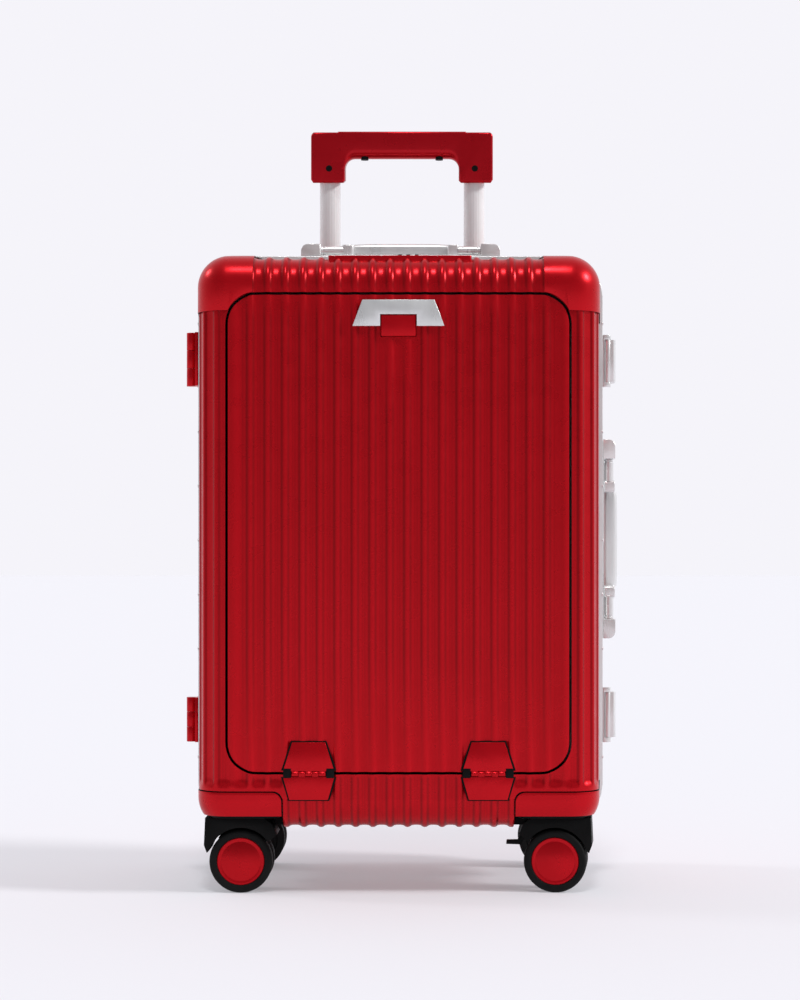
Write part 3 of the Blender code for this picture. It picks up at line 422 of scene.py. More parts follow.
def skin_point(station, x, z, kind, ribbed):
    """How far the ribs take this point in, the way out of the surface, and how much painted shade it gets beside a
    rib.
    """
    y, _, _, angle, across = station
    out_xz = math.cos(angle)
    out_y = math.sin(angle)
    # besides the dip, this works out the amount of painted shade beside the ribs
    dip = crease_shade = 0.0
    if ribbed:
        low_corner = ease(abs(x), 86 * MM, 94 * MM) * (1 - ease(z, 91 * MM, 97 * MM))
        if kind == "side":
            fade = (1 - low_corner) * ease(y, SKIN_START + 2 * MM, SKIN_START + 7 * MM)
            dip, crease_shade = rib_dip(across) * fade, rib_crease_shade(across) * fade
        elif kind in ("top", "bottom", "face"):
            fade = 1 - low_corner * (kind != "bottom")
            fade *= 1.0 - ease(abs(x), RIBS_END_X + 3 * MM, RIBS_END_X + 9 * MM) * (kind != "face")
            if kind != "face":
                fade *= ease(y, SKIN_START, SKIN_START + 5 * MM)
            dip, crease_shade = rib_dip(abs(x)) * fade, rib_crease_shade(abs(x)) * fade
    return dip, out_xz, out_y, crease_shade


def column_at(x, end):
    """A column's X, with those beyond the ribs spread out so that the last one lies at end."""
    if abs(x) <= RIBS_END_X:
        return x
    share = (abs(x) - RIBS_END_X) / (HALF_WIDTH - SIDE_DRAFT - EDGE - RIBS_END_X)
    return math.copysign(RIBS_END_X + share * (end - RIBS_END_X), x)


def fine_half(side, grow, ribbed):
    """One half's skin as an open surface, and its ring of vertices at the frame."""
    depth = DEPTHS[side]
    bm = bmesh.new()
    # per-vertex amount of painted shade beside the ribs, read by the shell paint
    crease_shade_layer = bm.verts.layers.float.new("crease_shade")
    columns = rib_columns()
    rings = []
    for station in side_stations(depth):
        y, draft, inset, _, _ = station
        half = HALF_WIDTH - SIDE_DRAFT * draft - inset
        high = SKIN_HIGH - TOP_DRAFT * draft - inset
        low = SKIN_LOW + BOTTOM_DRAFT * draft + inset
        radius = max(CORNER - SIDE_DRAFT * draft - inset, 0.4 * MM)
        ring = []
        levels = side_levels(low + radius, high - radius)

        def add(x, z, normal, kind):
            dip, out_xz, out_y, crease_shade = skin_point(station, x, z, kind, ribbed)
            move = grow - dip
            ring.append(bm.verts.new((x + normal[0] * move * out_xz, side * (y + move * out_y),
                                      z + normal[1] * move * out_xz)))
            ring[-1][crease_shade_layer] = crease_shade

        def corner(centre_x, centre_z, start):
            for x, z in arc((centre_x, centre_z), radius, start, start + 90, 12)[1:-1]:
                add(x, z, ((x - centre_x) / radius, (z - centre_z) / radius), "corner")

        for z in levels:
            add(half, z, (1, 0), "side")
        corner(half - radius, high - radius, 0)
        top = len(ring)
        for x in columns[::-1]:
            add(column_at(x, half - radius), high, (0, 1), "top")
        corner(radius - half, high - radius, 90)
        left = len(ring)
        for z in levels[::-1]:
            add(-half, z, (-1, 0), "side")
        corner(radius - half, low + radius, 180)
        bottom = len(ring)
        for x in columns:
            add(column_at(x, half - radius), low, (0, -1), "bottom")
        corner(half - radius, low + radius, 270)
        rings.append(ring)
        marks = (top, left, bottom, len(levels), levels)
    join_rings(bm, rings)
    close_face(bm, rings[-1], marks, columns, side, depth, grow, ribbed)
    turn_outward(bm)
    return bm, rings[0]


def close_face(bm, ring, marks, columns, side, depth, grow, ribbed):
    """Fills the flat face, as a grid between the ring's top, bottom and sides."""
    top, left, bottom, count, levels = marks
    right_side = ring[:count]
    top_row = ring[top:top + len(columns)][::-1]
    left_side = ring[left:left + count][::-1]
    bottom_row = ring[bottom:bottom + len(columns)]
    corners = {"right_top": ring[count - 1:top + 1], "left_top": ring[top + len(columns) - 1:left + 1],
               "left_bottom": ring[left + count - 1:bottom + 1],
               "right_bottom": ring[bottom + len(columns) - 1:] + [ring[0]]}
    station = side_stations(depth)[-1]
    crease_shade_layer = bm.verts.layers.float["crease_shade"]
    grid = []
    for z in levels:
        row = []
        for x in columns:
            dip, _, _, crease_shade = skin_point(station, x, z, "face", ribbed)
            row.append(bm.verts.new((x, side * (depth + grow - dip), z)))
            row[-1][crease_shade_layer] = crease_shade
        grid.append(row)
    for j in range(count - 1):
        for i in range(len(columns) - 1):
            bm.faces.new((grid[j][i], grid[j][i + 1], grid[j + 1][i + 1], grid[j + 1][i]))
        bm.faces.new((left_side[j], grid[j][0], grid[j + 1][0], left_side[j + 1]))
        bm.faces.new((grid[j][-1], right_side[j], right_side[j + 1], grid[j + 1][-1]))
    for i in range(len(columns) - 1):
        bm.faces.new((grid[-1][i], grid[-1][i + 1], top_row[i + 1], top_row[i]))
        bm.faces.new((bottom_row[i], bottom_row[i + 1], grid[0][i + 1], grid[0][i]))
    bm.faces.new(corners["right_top"] + [grid[-1][-1]])
    bm.faces.new(corners["left_top"] + [grid[-1][0]])
    bm.faces.new(corners["left_bottom"] + [grid[0][0]])
    bm.faces.new(corners["right_bottom"] + [grid[0][-1]])


def fine_block(side, grow):
    """The half's plain outer form as one closed solid."""
    bm, rim = fine_half(side, grow, False)
    bm.faces.new(rim)
    turn_outward(bm)
    return bm


def double_skin(name, side, outer_grow, inner_grow, ribbed, slot_name):
    """An outer skin, ribbed or plain, with a plain inner one, joined round the frame."""
    outer, _ = fine_half(side, outer_grow, ribbed)
    inner, _ = fine_half(side, inner_grow, False)
    bmesh.ops.reverse_faces(inner, faces=inner.faces)
    holder = bpy.data.meshes.new("inner")
    inner.to_mesh(holder)
    inner.free()
    outer.from_mesh(holder)
    bpy.data.meshes.remove(holder)
    bmesh.ops.bridge_loops(outer, edges=[e for e in outer.edges if e.is_boundary])
    turn_outward(outer)
    return from_bmesh(name, outer, slot_name, 50)


def fine_shell(name, side):
    """A ribbed skin with its plain inner surface, open at the frame."""
    return double_skin(name, side, 0.0, -SKIN_WALL - RIB_DEPTH, True, "shell_red")


DOOR_GAP = 1.1 * MM
DOOR_LINE = (Vector((DOOR_LOW.x - DOOR_GAP, 0, DOOR_LOW.z - DOOR_GAP)),
             Vector((DOOR_HIGH.x + DOOR_GAP, 0, DOOR_HIGH.z + DOOR_GAP)))


def door_prism(name, grow, y_low, y_high, steps=10):
    low, high = DOOR_LINE
    outline = rounded((low.x - grow, low.z - grow), (high.x + grow, high.z + grow), 26 * MM + grow, steps)
    return prism(name, outline, "Y", y_low, y_high)


def guard_outline(x, grow, low_z):
    """The bottom guard's outline as seen from the front, with its rounded inner corner."""
    inner, high_z = GUARD_LOW.x - grow, GUARD_HIGH.z + grow
    corner = arc((inner + 8 * MM, high_z - 8 * MM), 8 * MM, 90, 180, 8)
    points = [(inner, low_z), (FAR, low_z), (FAR, high_z)] + corner
    return [(x * px, pz) for px, pz in points]


def notch_for_casters(shell, side):
    """The bottom corners are left to the guards."""
    for x in (-1, 1):
        ys = ordered(side, SKIN_START - 0.1 * MM, FAR)
        boolean(shell, prism("notch", guard_outline(x, 0.7 * MM, 0.0), "Y", *ys))


front = fine_shell("front_skin", -1)
rear = fine_shell("rear_skin", 1)
for half, side in ((front, -1), (rear, 1)):
    notch_for_casters(half, side)
boolean(front, door_prism("door_cut", 0.7 * MM, -FAR, -DEPTHS[-1] + 10 * MM))
for half, side in ((front, -1), (rear, 1)):
    smooth(half, 50)
    finish_piece(half, BODY_OF_SIDE[side], "shell_red", f"{END[side]}_shell")


# ---------------------------------------------------------------- door, guards

PUSH_LOW, PUSH_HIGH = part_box("door_push")
GUARD_LIFT = 3.0 * MM


def fine_door():
    """The door: the front skin inside the door line, with an opening for the push piece."""
    door = fine_shell("door_skin", -1)
    boolean(door, door_prism("door_keep", -DOOR_GAP - 0.4 * MM, -FAR, -DEPTHS[-1] + 10 * MM), "INTERSECT")
    gap = 0.3 * MM
    boolean(door, box_piece("push_cut", (PUSH_LOW.x - gap, -FAR, PUSH_LOW.z - gap),
                            (PUSH_HIGH.x + gap, 0, PUSH_HIGH.z + gap)))
    smooth(door, 50)
    finish_piece(door, "door", "shell_red", "door_panel")


def guard_block(name, side, grow):
    return from_bmesh(name, fine_block(side, grow), "shell_red")


def top_guard(side, x):
    """A smooth cap over a top corner, a little proud of the ribs, with softened ends."""
    guard = guard_block(f"{END[side]}_corner_cap_{HAND[x]}", side, 1.2 * MM)
    xs = ordered(x, CAP_LOW.x, FAR)
    ys = ordered(side, SKIN_START + 0.3 * MM, FAR)
    outline = rounded((xs[0], CAP_LOW.z), (xs[1], 0.6), 5 * MM, 6)
    boolean(guard, prism("keep", outline, "Y", *ys), "INTERSECT")
    boolean(guard, guard_block("core", side, 0.02 * MM))
    if side < 0:
        boolean(guard, door_prism("door_cut", 0.9 * MM, -FAR, -DEPTHS[-1] + 12 * MM, 16))
    finish_piece(bevel(guard, 0.45 * MM, 2, 50), BODY_OF_SIDE[side], "shell_red",
                 f"{END[side]}_guard_top_{HAND[x]}")


def bottom_guard(side, x):
    """The corner casting over a caster, hollow behind its floor, and the dark pan under it."""
    label = f"{END[side]}_%s_{HAND[x]}"
    guard = guard_block(label % "foot_guard", side, 0.75 * MM)
    low_z = GUARD_LOW.z + GUARD_LIFT
    outline = guard_outline(x, -0.3 * MM, low_z)
    ys = ordered(side, SKIN_START + 0.3 * MM, FAR)
    boolean(guard, prism("keep", outline, "Y", *ys), "INTERSECT")
    hollow = guard_block("hollow", side, -2.5 * MM)
    boolean(hollow, box_piece("above", (-FAR, -FAR, low_z + 4 * MM), (FAR, FAR, FAR)), "INTERSECT")
    boolean(guard, hollow)
    finish_piece(bevel(guard, 0.5 * MM, 2, 50), BODY_OF_SIDE[side], "shell_red", label % "guard_bottom")
    pan_x = ordered(x, GUARD_LOW.x + 1.5 * MM, GUARD_HIGH.x - 17 * MM)
    pan_y = ordered(side, 25 * MM, 104 * MM)
    outline = rounded((pan_x[0], pan_y[0]), (pan_x[1], pan_y[1]), 14 * MM, 8)
    pan = prism(label % "caster_pan", outline, "Z", GUARD_LOW.z + 0.2 * MM, low_z + 1.0 * MM)
    finish_piece(bevel(pan, 0.6 * MM), BODY_OF_SIDE[side], BLACK)


fine_door()
for guard_side in (-1, 1):
    for guard_x in (-1, 1):
        top_guard(guard_side, guard_x)
        bottom_guard(guard_side, guard_x)


# ---------------------------------------------------------------- softened CAD shapes

BODY_OF = {node: body for body, nodes in RECORD["behaviour"]["bodies"].items() for node in nodes}
JOINTS = {joint["child"]: joint for joint in frame["joints"]}


def softened(node, width, segments=2, angle=40.0):
    """A new piece with a CAD node's shape, its flat faces joined and its edges rounded."""
    bm = bmesh.new()
    bm.from_mesh(NODES[node].data)
    bmesh.ops.remove_doubles(bm, verts=bm.verts, dist=0.002 * MM)
    bmesh.ops.dissolve_limit(bm, angle_limit=math.radians(1.0), verts=bm.verts, edges=bm.edges)
    piece = bevel(from_bmesh(f"{node}_soft", bm, SLOT_OF[node]), width, segments, angle)
    finish_piece(piece, BODY_OF[node], SLOT_OF[node], node)


def lathe(name, profile, axis, origin, slot_name, steps):
    """A closed (radius, height) outline turned about an axis through origin."""
    bm = bmesh.new()
    turn = Vector(axis).to_track_quat("Z", "Y").to_matrix().to_4x4()
    place = Matrix.Translation(origin) @ turn
    rings = []
    for radius, height in profile:
        if radius < 1e-7:
            rings.append([bm.verts.new(place @ Vector((0, 0, height)))])
        else:
            rings.append([bm.verts.new(place @ Vector((radius * math.cos(a), radius * math.sin(a), height)))
                          for a in (2 * math.pi * i / steps for i in range(steps))])
    closed = profile[0][0] > 1e-7 and profile[-1][0] > 1e-7
    pairs = list(zip(rings, rings[1:])) + ([(rings[-1], rings[0])] if closed else [])
    for first, second in pairs:
        for i in range(steps):
            j = (i + 1) % steps
            unique = list(dict.fromkeys((first[i % len(first)], first[j % len(first)],
                                         second[j % len(second)], second[i % len(second)])))
            if len(unique) > 2:
                bm.faces.new(unique)
    turn_outward(bm)
    return from_bmesh(name, bm, slot_name)


def plug(name, centre, axis, radius, depth, body, slot_name):
    """A round screw head that stands depth out of a face, with a rounded rim and a dished middle."""
    middle = depth * 0.9
    profile = [(0, -1.5 * MM), (radius, -1.5 * MM), (radius, depth * 0.5), (radius * 0.93, depth),
               (radius * 0.72, depth), (radius * 0.55, middle), (0, middle)]
    finish_piece(lathe(name, profile, axis, centre, slot_name, 32), body, slot_name)


# ---------------------------------------------------------------- casters

TYRE_RADIUS, WHEEL_WIDTH, HUB_RADIUS = 26.5 * MM, 13 * MM, 20.0 * MM


def wheel(node):
    """A tyre with two fine grooves round its tread, on a red disc wheel with a raised rim; on the rear wheels that
    face the front the disc is black, as painted shade.
    """
    joint = JOINTS[BODY_OF[node]]
    hub_point = Vector(joint["pos_m"])
    low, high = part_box(node)
    outward = (low + high) / 2 - hub_point
    axis = Vector(joint["axis"]).normalized()
    axis = axis if outward.dot(axis) > 0 else -axis
    inner = hub_point + axis * (outward.dot(axis) - WHEEL_WIDTH / 2)
    w, r = WHEEL_WIDTH, TYRE_RADIUS
    tread = [(HUB_RADIUS, w - 0.9 * MM), (HUB_RADIUS + 0.5 * MM, w - 0.3 * MM), (23.0 * MM, w)]
    tread += arc((r - 2.6 * MM, w - 2.6 * MM), 2.6 * MM, 90, 0, 6)
    for groove in (w * 0.62, w * 0.38):
        tread += [(r, groove + 0.5 * MM), (r - 0.5 * MM, groove + 0.3 * MM),
                  (r - 0.5 * MM, groove - 0.3 * MM), (r, groove - 0.5 * MM)]
    tread += arc((r - 2.6 * MM, 2.6 * MM), 2.6 * MM, 0, -90, 6)
    tread += [(23.0 * MM, 0), (HUB_RADIUS + 0.5 * MM, 0.3 * MM), (HUB_RADIUS, 0.9 * MM)]
    tyre = lathe(f"{node}_tyre", tread, axis, inner, "tyre", 96)
    hub = HUB_RADIUS
    disc = [(0, w - 0.5 * MM), (hub * 0.80, w - 0.5 * MM), (hub * 0.83, w - 0.75 * MM),
            (hub * 0.86, w - 0.5 * MM), (hub * 0.97, w - 0.5 * MM), (hub - 0.02 * MM, w - 1.0 * MM),
            (hub - 0.02 * MM, 1.2 * MM), (hub * 0.9, 1.2 * MM), (hub * 0.82, 3.5 * MM),
            (hub * 0.42, 3.5 * MM), (hub * 0.40, 0.4 * MM), (4.2 * MM, 0.4 * MM),
            (4.2 * MM, 3.0 * MM), (0, 3.0 * MM)]
    # painted shade: the disc of each rear wheel that faces the front is black, standing in for the shade on it
    disc_red_or_shade = BLACK if "rear" in node and axis.y < 0 else "shell_red"
    face = lathe(f"{node}_disc", disc, axis, inner, disc_red_or_shade, 96)
    finish_piece(tyre, BODY_OF[node], "tyre", node)
    finish_piece(face, BODY_OF[node], disc_red_or_shade)


for node_name in sorted(NODES):
    if "_wheel_" in node_name:
        wheel(node_name)
    elif node_name.endswith("_fork"):
        softened(node_name, 0.8 * MM, 2, 50)
softened("caster_brake_lever", 0.5 * MM)


# ---------------------------------------------------------------- trolley grip

GRIP_LOW, GRIP_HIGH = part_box("trolley_grip")
TUBE_LOW, TUBE_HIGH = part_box("trolley_inner_tube_right")
TUBE_X = (TUBE_LOW.x + TUBE_HIGH.x) / 2
TROLLEY_Y = (GRIP_LOW.y + GRIP_HIGH.y) / 2
GRIP_BAR_LOW = GRIP_HIGH.z - 25.5 * MM
UNDERSIDE_RAKE = 0.17
LEG_WIDTH = 31 * MM


def grip_outline():
    """(x, z, rounding) round the U of the grip, anticlockwise as seen from the front."""
    low, top, half = GRIP_LOW.z, GRIP_HIGH.z, GRIP_HIGH.x
    leg = half - LEG_WIDTH
    small, large = 2.2 * MM, 9 * MM
    points = [(half, low + 3 * MM, small)]
    points += [(x, z, small) for x, z in arc((half - 5 * MM, top - 5 * MM), 5 * MM, 0, 90, 8)]
    step = 0.7 * MM
    right = [(x, min(z, top - step), r) for x, z, r in points]
    right += [(58.6 * MM, top - step, small), (58.2 * MM, top, small), (0, top, small)]
    under = [(half - 2 * MM, low, small), (leg + 2 * MM, low, small), (leg, low + 2 * MM, small),
             (leg, GRIP_BAR_LOW - 9 * MM, small)]
    fillet = arc((leg - 9 * MM, GRIP_BAR_LOW - 9 * MM), 9 * MM, 0, 90, 10)
    under += [(x, z, small + (large - small) * ease(i, 2, 10)) for i, (x, z) in enumerate(fillet)]
    under += [((leg - 9 * MM) * f, GRIP_BAR_LOW, large) for f in (0.8, 0.5, 0.25)]
    left = [(-x, z, r) for x, z, r in right[::-1][1:]]
    left_under = [(-x, z, r) for x, z, r in under]
    return right + left + left_under + [(0, GRIP_BAR_LOW, large)] + under[::-1]


def outline_normals(points):
    """The way out of a closed outline at each point, longer at a sharp turn."""
    normals = []
    for i in range(len(points)):
        before, here, after = points[i - 1], points[i], points[(i + 1) % len(points)]
        first = Vector((here[0] - before[0], here[1] - before[1])).normalized()
        second = Vector((after[0] - here[0], after[1] - here[1])).normalized()
        along = (first + second).normalized()
        stretch = 1.0 / max(first.dot(along), 0.6)
        normals.append((along.y * stretch, -along.x * stretch))
    return normals


def trolley_grip():
    """The rounded U of the grip, its button, its screws and the two dark drains under its bar."""
    outline = grip_outline()
    normals = outline_normals(outline)
    half_depth = (GRIP_HIGH.y - GRIP_LOW.y) / 2
    bm = bmesh.new()
    rings = []
    angles = [math.radians(a) for a in range(0, 91, 15)]
    for side in (-1, 1):
        for a in (angles[::-1] if side < 0 else angles):
            ring = []
            for (x, z, r), (nx, nz) in zip(outline, normals):
                inset = r * (1 - math.cos(a))
                y = TROLLEY_Y + side * (half_depth - r * (1 - math.sin(a)))
                rake = UNDERSIDE_RAKE * (y - GRIP_LOW.y) * (z < GRIP_BAR_LOW + 0.1 * MM)
                ring.append(bm.verts.new((x - nx * inset, y, z - nz * inset + rake)))
            rings.append(ring)
    join_rings(bm, rings)
    bm.faces.new(rings[0])
    bm.faces.new(rings[-1][::-1])
    turn_outward(bm)
    grip = from_bmesh("grip_body", bm, "grip_red", 30)
    cut_low, cut_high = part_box("grip_button")
    gap = 0.35 * MM
    outline = rounded((cut_low.x - gap, cut_low.y - gap), (cut_high.x + gap, cut_high.y + gap), 3 * MM, 6)
    boolean(grip, prism("button_cut", outline, "Z", cut_low.z - 3.5 * MM, 1.0))
    smooth(grip, 30)
    finish_piece(grip, "trolley", "grip_red", "trolley_grip")
    button = prism("button_top", rounded((cut_low.x, cut_low.y), (cut_high.x, cut_high.y), 2.6 * MM, 6), "Z",
                   cut_low.z, cut_high.z, "grip_red")
    finish_piece(bevel(button, 0.7 * MM, 3), "grip_button", "grip_red", "grip_button")
    for x in (-1, 1):
        for end, where, y in ((-1, "front", GRIP_LOW.y), (1, "back", GRIP_HIGH.y)):
            plug(f"grip_screw_{where}_{HAND[x]}", (x * (TUBE_X + 0.5 * MM), y, GRIP_LOW.z + 13.3 * MM),
                 (0, end, 0), 2.9 * MM, 0.15 * MM, "trolley", BLACK)
        drain_x = x * 34 * MM
        outline = rounded((drain_x - 3.4 * MM, TROLLEY_Y - 11 * MM),
                          (drain_x + 3.4 * MM, TROLLEY_Y - 5.5 * MM), 2.7 * MM, 8)
        drain = prism(f"grip_drain_{HAND[x]}", outline, "Z", GRIP_BAR_LOW - 0.1 * MM, GRIP_BAR_LOW + 5 * MM)
        finish_piece(drain, "trolley", BLACK)


trolley_grip()
softened("trolley_bezel", 0.8 * MM)
for x in (-1, 1):
    collar = [(9.7 * MM, -1.0 * MM), (12.4 * MM, -1.0 * MM), (12.4 * MM, 0.05 * MM), (12.2 * MM, 0.2 * MM),
              (9.9 * MM, 0.2 * MM), (9.7 * MM, 0.05 * MM)]
    place = (x * TUBE_X, TROLLEY_Y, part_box("trolley_bezel")[1].z)
    ring = lathe(f"tube_collar_{HAND[x]}", collar, (0, 0, 1), place, BLACK, 64)
    finish_piece(ring, "rear_case", BLACK)


# ---------------------------------------------------------------- frames, hinges, latches, handles

for node_name in ("front_frame", "rear_frame"):
    softened(node_name, 0.6 * MM, 2, 50)
for node_name in sorted(NODES):
    if node_name.startswith("side_hinge"):
        softened(node_name, 0.35 * MM, 2, 50)
    elif node_name.startswith("door_hinge"):
        softened(node_name, 0.22 * MM, 2, 50)
    elif node_name.startswith(("latch_base", "latch_lever", "latch_keeper")):
        softened(node_name, 0.30 * MM, 2, 50)


LEAF_WIDE, LEAF_TOP, LEAF_FOOT = 22 * MM, 13.7 * MM, 16 * MM


def hinge_pockets():
    """Dark recesses round each door hinge: a plate behind each leaf, and a black plate on the face beside the
    knuckles, standing in for the shade of a recess there.
    """
    face = -DEPTHS[-1]
    axis_z = DOOR_LOW.z - DOOR_GAP
    g = 1.0 * MM
    for side in ("left", "right"):
        for level, body in (("upper", "door"), ("lower", "lid")):
            low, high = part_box(f"door_hinge_{level}_{side}")
            x = (low.x + high.x) / 2
            if level == "upper":
                ends = (LEAF_WIDE + g, axis_z + 2.7 * MM), (LEAF_TOP + g, high.z + g)
            else:
                ends = (LEAF_FOOT + g, low.z - g), (LEAF_WIDE + g, axis_z - 2.7 * MM)
            (low_half, low_z), (high_half, high_z) = ends
            outline = [(x - low_half, low_z), (x + low_half, low_z),
                       (x + high_half, high_z), (x - high_half, high_z)]
            back = prism(f"hinge_recess_{level}_{side}", outline, "Y", face - 0.15 * MM, face + 4 * MM)
            finish_piece(back, body, BLACK)
        # painted shade: black plates on the face beside the knuckles stand in for the shade of recesses there
        for x_sign in (-1, 1):
            xs = sorted((x + x_sign * 14.6 * MM, x + x_sign * 21.2 * MM))
            outline = rectangle((xs[0], axis_z - 3.4 * MM), (xs[1], axis_z + 4.6 * MM))
            pocket = prism(f"knuckle_shade_plate_{side}_{'b' if x_sign > 0 else 'a'}", outline, "Y",
                           face - 1.85 * MM, face - 0.2 * MM)
            finish_piece(bevel(pocket, 0.2 * MM), "lid", BLACK)


hinge_pockets()
softened("door_latch_plate", 0.35 * MM)
softened("door_push", 0.5 * MM)


def lock_strip():
    """The low strip on the front shell's top edge, with a slot for each dial."""
    low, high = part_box("lock_plate")
    strip = prism("lock_strip", rounded(low, high, 2 * MM, 5), "Z", low.z, high.z - 1.6 * MM, "shell_red")
    gap = 0.5 * MM
    for i in (1, 2, 3):
        dial_low, dial_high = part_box(f"dial_{i}")
        boolean(strip, box_piece("slot", (dial_low.x - gap, dial_low.y - gap, dial_low.z - gap),
                                 (dial_high.x + gap, dial_high.y + gap, high.z + gap)))
    finish_piece(bevel(strip, 0.4 * MM), "lid", "shell_red", "lock_plate")


lock_strip()


def carry_handle(name):
    """Two blocks on barrels, joined by a rounded bar that stands a little above them."""
    axis_point = Vector(JOINTS[name]["pos_m"])
    low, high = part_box(name)
    if name == "side_handle":
        turn = Matrix.Translation(axis_point) @ Matrix.Rotation(math.pi / 2, 4, "Y")
        half = (high.z - low.z) / 2
    else:
        turn = Matrix.Translation(axis_point)
        half = (high.x - low.x) / 2
    reach = high.y - axis_point.y
    block_out, block_in = half - 18.5 * MM, half - 29 * MM
    outline = rounded((block_in, -3.7 * MM), (block_out, reach), 3.0 * MM, 6)
    pieces = []
    for x in (-1, 1):
        side = "b" if x > 0 else "a"
        mirrored = [(x * a, b) for a, b in outline]
        arm = prism(f"{name}_arm_{side}", mirrored, "Z", -4.4 * MM, 5.2 * MM, "silver")
        pieces.append(bevel(arm, 0.8 * MM, 3, 50))
        barrel = [(0, block_out - 1 * MM), (4.0 * MM, block_out - 1 * MM), (4.0 * MM, half - 3.0 * MM),
                  (3.5 * MM, half - 2.8 * MM), (3.5 * MM, half - 2.0 * MM), (4.0 * MM, half - 1.8 * MM),
                  (4.0 * MM, half - 0.3 * MM), (3.7 * MM, half), (0, half)]
        pieces.append(lathe(f"{name}_barrel_{side}", barrel, (x, 0, 0), (0, 0, 0), "silver", 48))
    bar_centre, bar_deep, bar_high = reach - 8.5 * MM, 8.5 * MM, 6.8 * MM
    bm = bmesh.new()
    rings = []
    stations, points, squareness = 24, 40, 0.6
    for i in range(stations + 1):
        t = -1 + 2 * i / stations
        x = t * (block_in + 0.6 * MM)
        swell = 1.0 - 0.10 * t ** 6
        ring = []
        for k in range(points):
            a = 2 * math.pi * k / points
            c, d = math.cos(a), math.sin(a)
            yy = math.copysign(abs(c) ** squareness, c) * bar_deep * swell
            zz = math.copysign(abs(d) ** squareness, d) * bar_high * swell
            ring.append(bm.verts.new((x, bar_centre + yy, 2.3 * MM + zz)))
        rings.append(ring)
    cap_rings(bm, rings)
    bar = from_bmesh(f"{name}_bar", bm, "silver")
    for piece in [bar] + pieces:
        piece.data.transform(turn)
        finish_piece(piece, name, "silver")
    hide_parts(name)


for handle in ("top_handle", "side_handle"):
    carry_handle(handle)
    softened(f"{handle}_base", 0.45 * MM, 2, 50)


def rivet(name, centre, axis, body):
    profile = [(0, -0.5 * MM), (1.7 * MM, -0.5 * MM), (1.7 * MM, 0.1 * MM), (1.4 * MM, 0.45 * MM),
               (0.8 * MM, 0.62 * MM), (0, 0.65 * MM)]
    finish_piece(lathe(name, profile, axis, centre, "frame_aluminium", 24), body, "frame_aluminium")


def free_of(z, taken):
    return all(not low - 4 * MM < z < high + 4 * MM for low, high in taken)


def frame_rivets():
    """Rivets along both rails, at an even pitch, where no fitting covers the rail."""
    pitch = 47.5 * MM
    centre = (FRAME_LOW.z + FRAME_HIGH.z) / 2
    side_fittings = {1: ["latch_base_upper", "latch_base_lower"],
                     -1: ["side_hinge_front_upper", "side_hinge_front_lower"]}
    top_low, top_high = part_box("top_handle_base")
    for side, body in BODY_OF_SIDE.items():
        label = END[side]
        for x in (-1, 1):
            taken = [(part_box(n)[0].z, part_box(n)[1].z) for n in side_fittings[x]]
            for i in range(-4, 5):
                z = centre + i * pitch
                if free_of(z, taken):
                    rivet(f"rivet_{label}_{HAND[x][0]}_{i + 4}", (x * FRAME_HIGH.x, side * 9.6 * MM, z),
                          (x, 0, 0), body)
        for i in (-3, -2, 2, 3):
            x = i * pitch
            if not top_low.x < x < top_high.x:
                rivet(f"rivet_{label}_top_{i + 3}", (x, side * 5.5 * MM, FRAME_HIGH.z), (0, 0, 1), body)


frame_rivets()


# ---------------------------------------------------------------- inside

TRAY_LOW, TRAY_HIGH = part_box("pocket_tray")
HOUSING_LOW, HOUSING_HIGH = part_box("trolley_housing")
LINING_GROW = -SKIN_WALL - RIB_DEPTH - 0.9 * MM
CLOTH = 0.5 * MM
TRAY_WALL = 1.5 * MM


def lining(side):
    """Woven cloth stretched over the inside of one half, cut round the tray or the trolley housing."""
    cloth = double_skin(f"{END[side]}_lining", side, LINING_GROW, LINING_GROW - CLOTH, False,
                        "lining")
    notch_for_casters(cloth, side)
    low, high = (TRAY_LOW, TRAY_HIGH) if side < 0 else (HOUSING_LOW, HOUSING_HIGH)
    g = 0.6 * MM
    ends = (-FAR, high.y + g) if side < 0 else (low.y - g, high.y + g)
    tall = (low.z - g, high.z + g) if side < 0 else (low.z - g, high.z + 0.1)
    outline = rectangle((low.x - g, tall[0]), (high.x + g, tall[1]))
    boolean(cloth, prism("round_inset", outline, "Y", *ends))
    smooth(cloth, 50)
    finish_piece(cloth, BODY_OF_SIDE[side], "lining")
    for x in (-1, 1):
        floor_z = GUARD_LOW.z + GUARD_LIFT + 1.1 * MM
        cover = from_bmesh(f"{END[side]}_well_{HAND[x]}",
                           fine_block(side, LINING_GROW + 0.2 * MM), "lining", 50)
        ys = ordered(side, SKIN_START + 0.5 * MM, FAR)
        boolean(cover, prism("well", guard_outline(x, 1.4 * MM, floor_z), "Y", *ys), "INTERSECT")
        finish_piece(bevel(cover, 0.8 * MM, 2, 50), BODY_OF_SIDE[side], "lining")


def strap(name, start, end, y, width=25 * MM, thick=1.2 * MM):
    """One webbing strap, pulled straight between two points of the (x, z) plane."""
    a, b = Vector(start), Vector(end)
    along = (b - a).normalized()
    across = Vector((-along.y, along.x)) * width / 2
    bm = bmesh.new()
    steps = 24
    section = ((-1, 0), (-0.9, 1), (0, 1), (0.9, 1), (1, 0), (0.9, -1), (0, -1), (-0.9, -1))
    rows = []
    for i in range(steps + 1):
        here = a.lerp(b, i / steps)
        row = []
        for share, lift in section:
            place = here + across * share
            row.append(bm.verts.new((place.x, y + lift * thick / 2, place.y)))
        rows.append(row)
    cap_rings(bm, rows)
    band = from_bmesh(name, bm, "lining", 50)
    finish_piece(band, "rear_case", "lining")


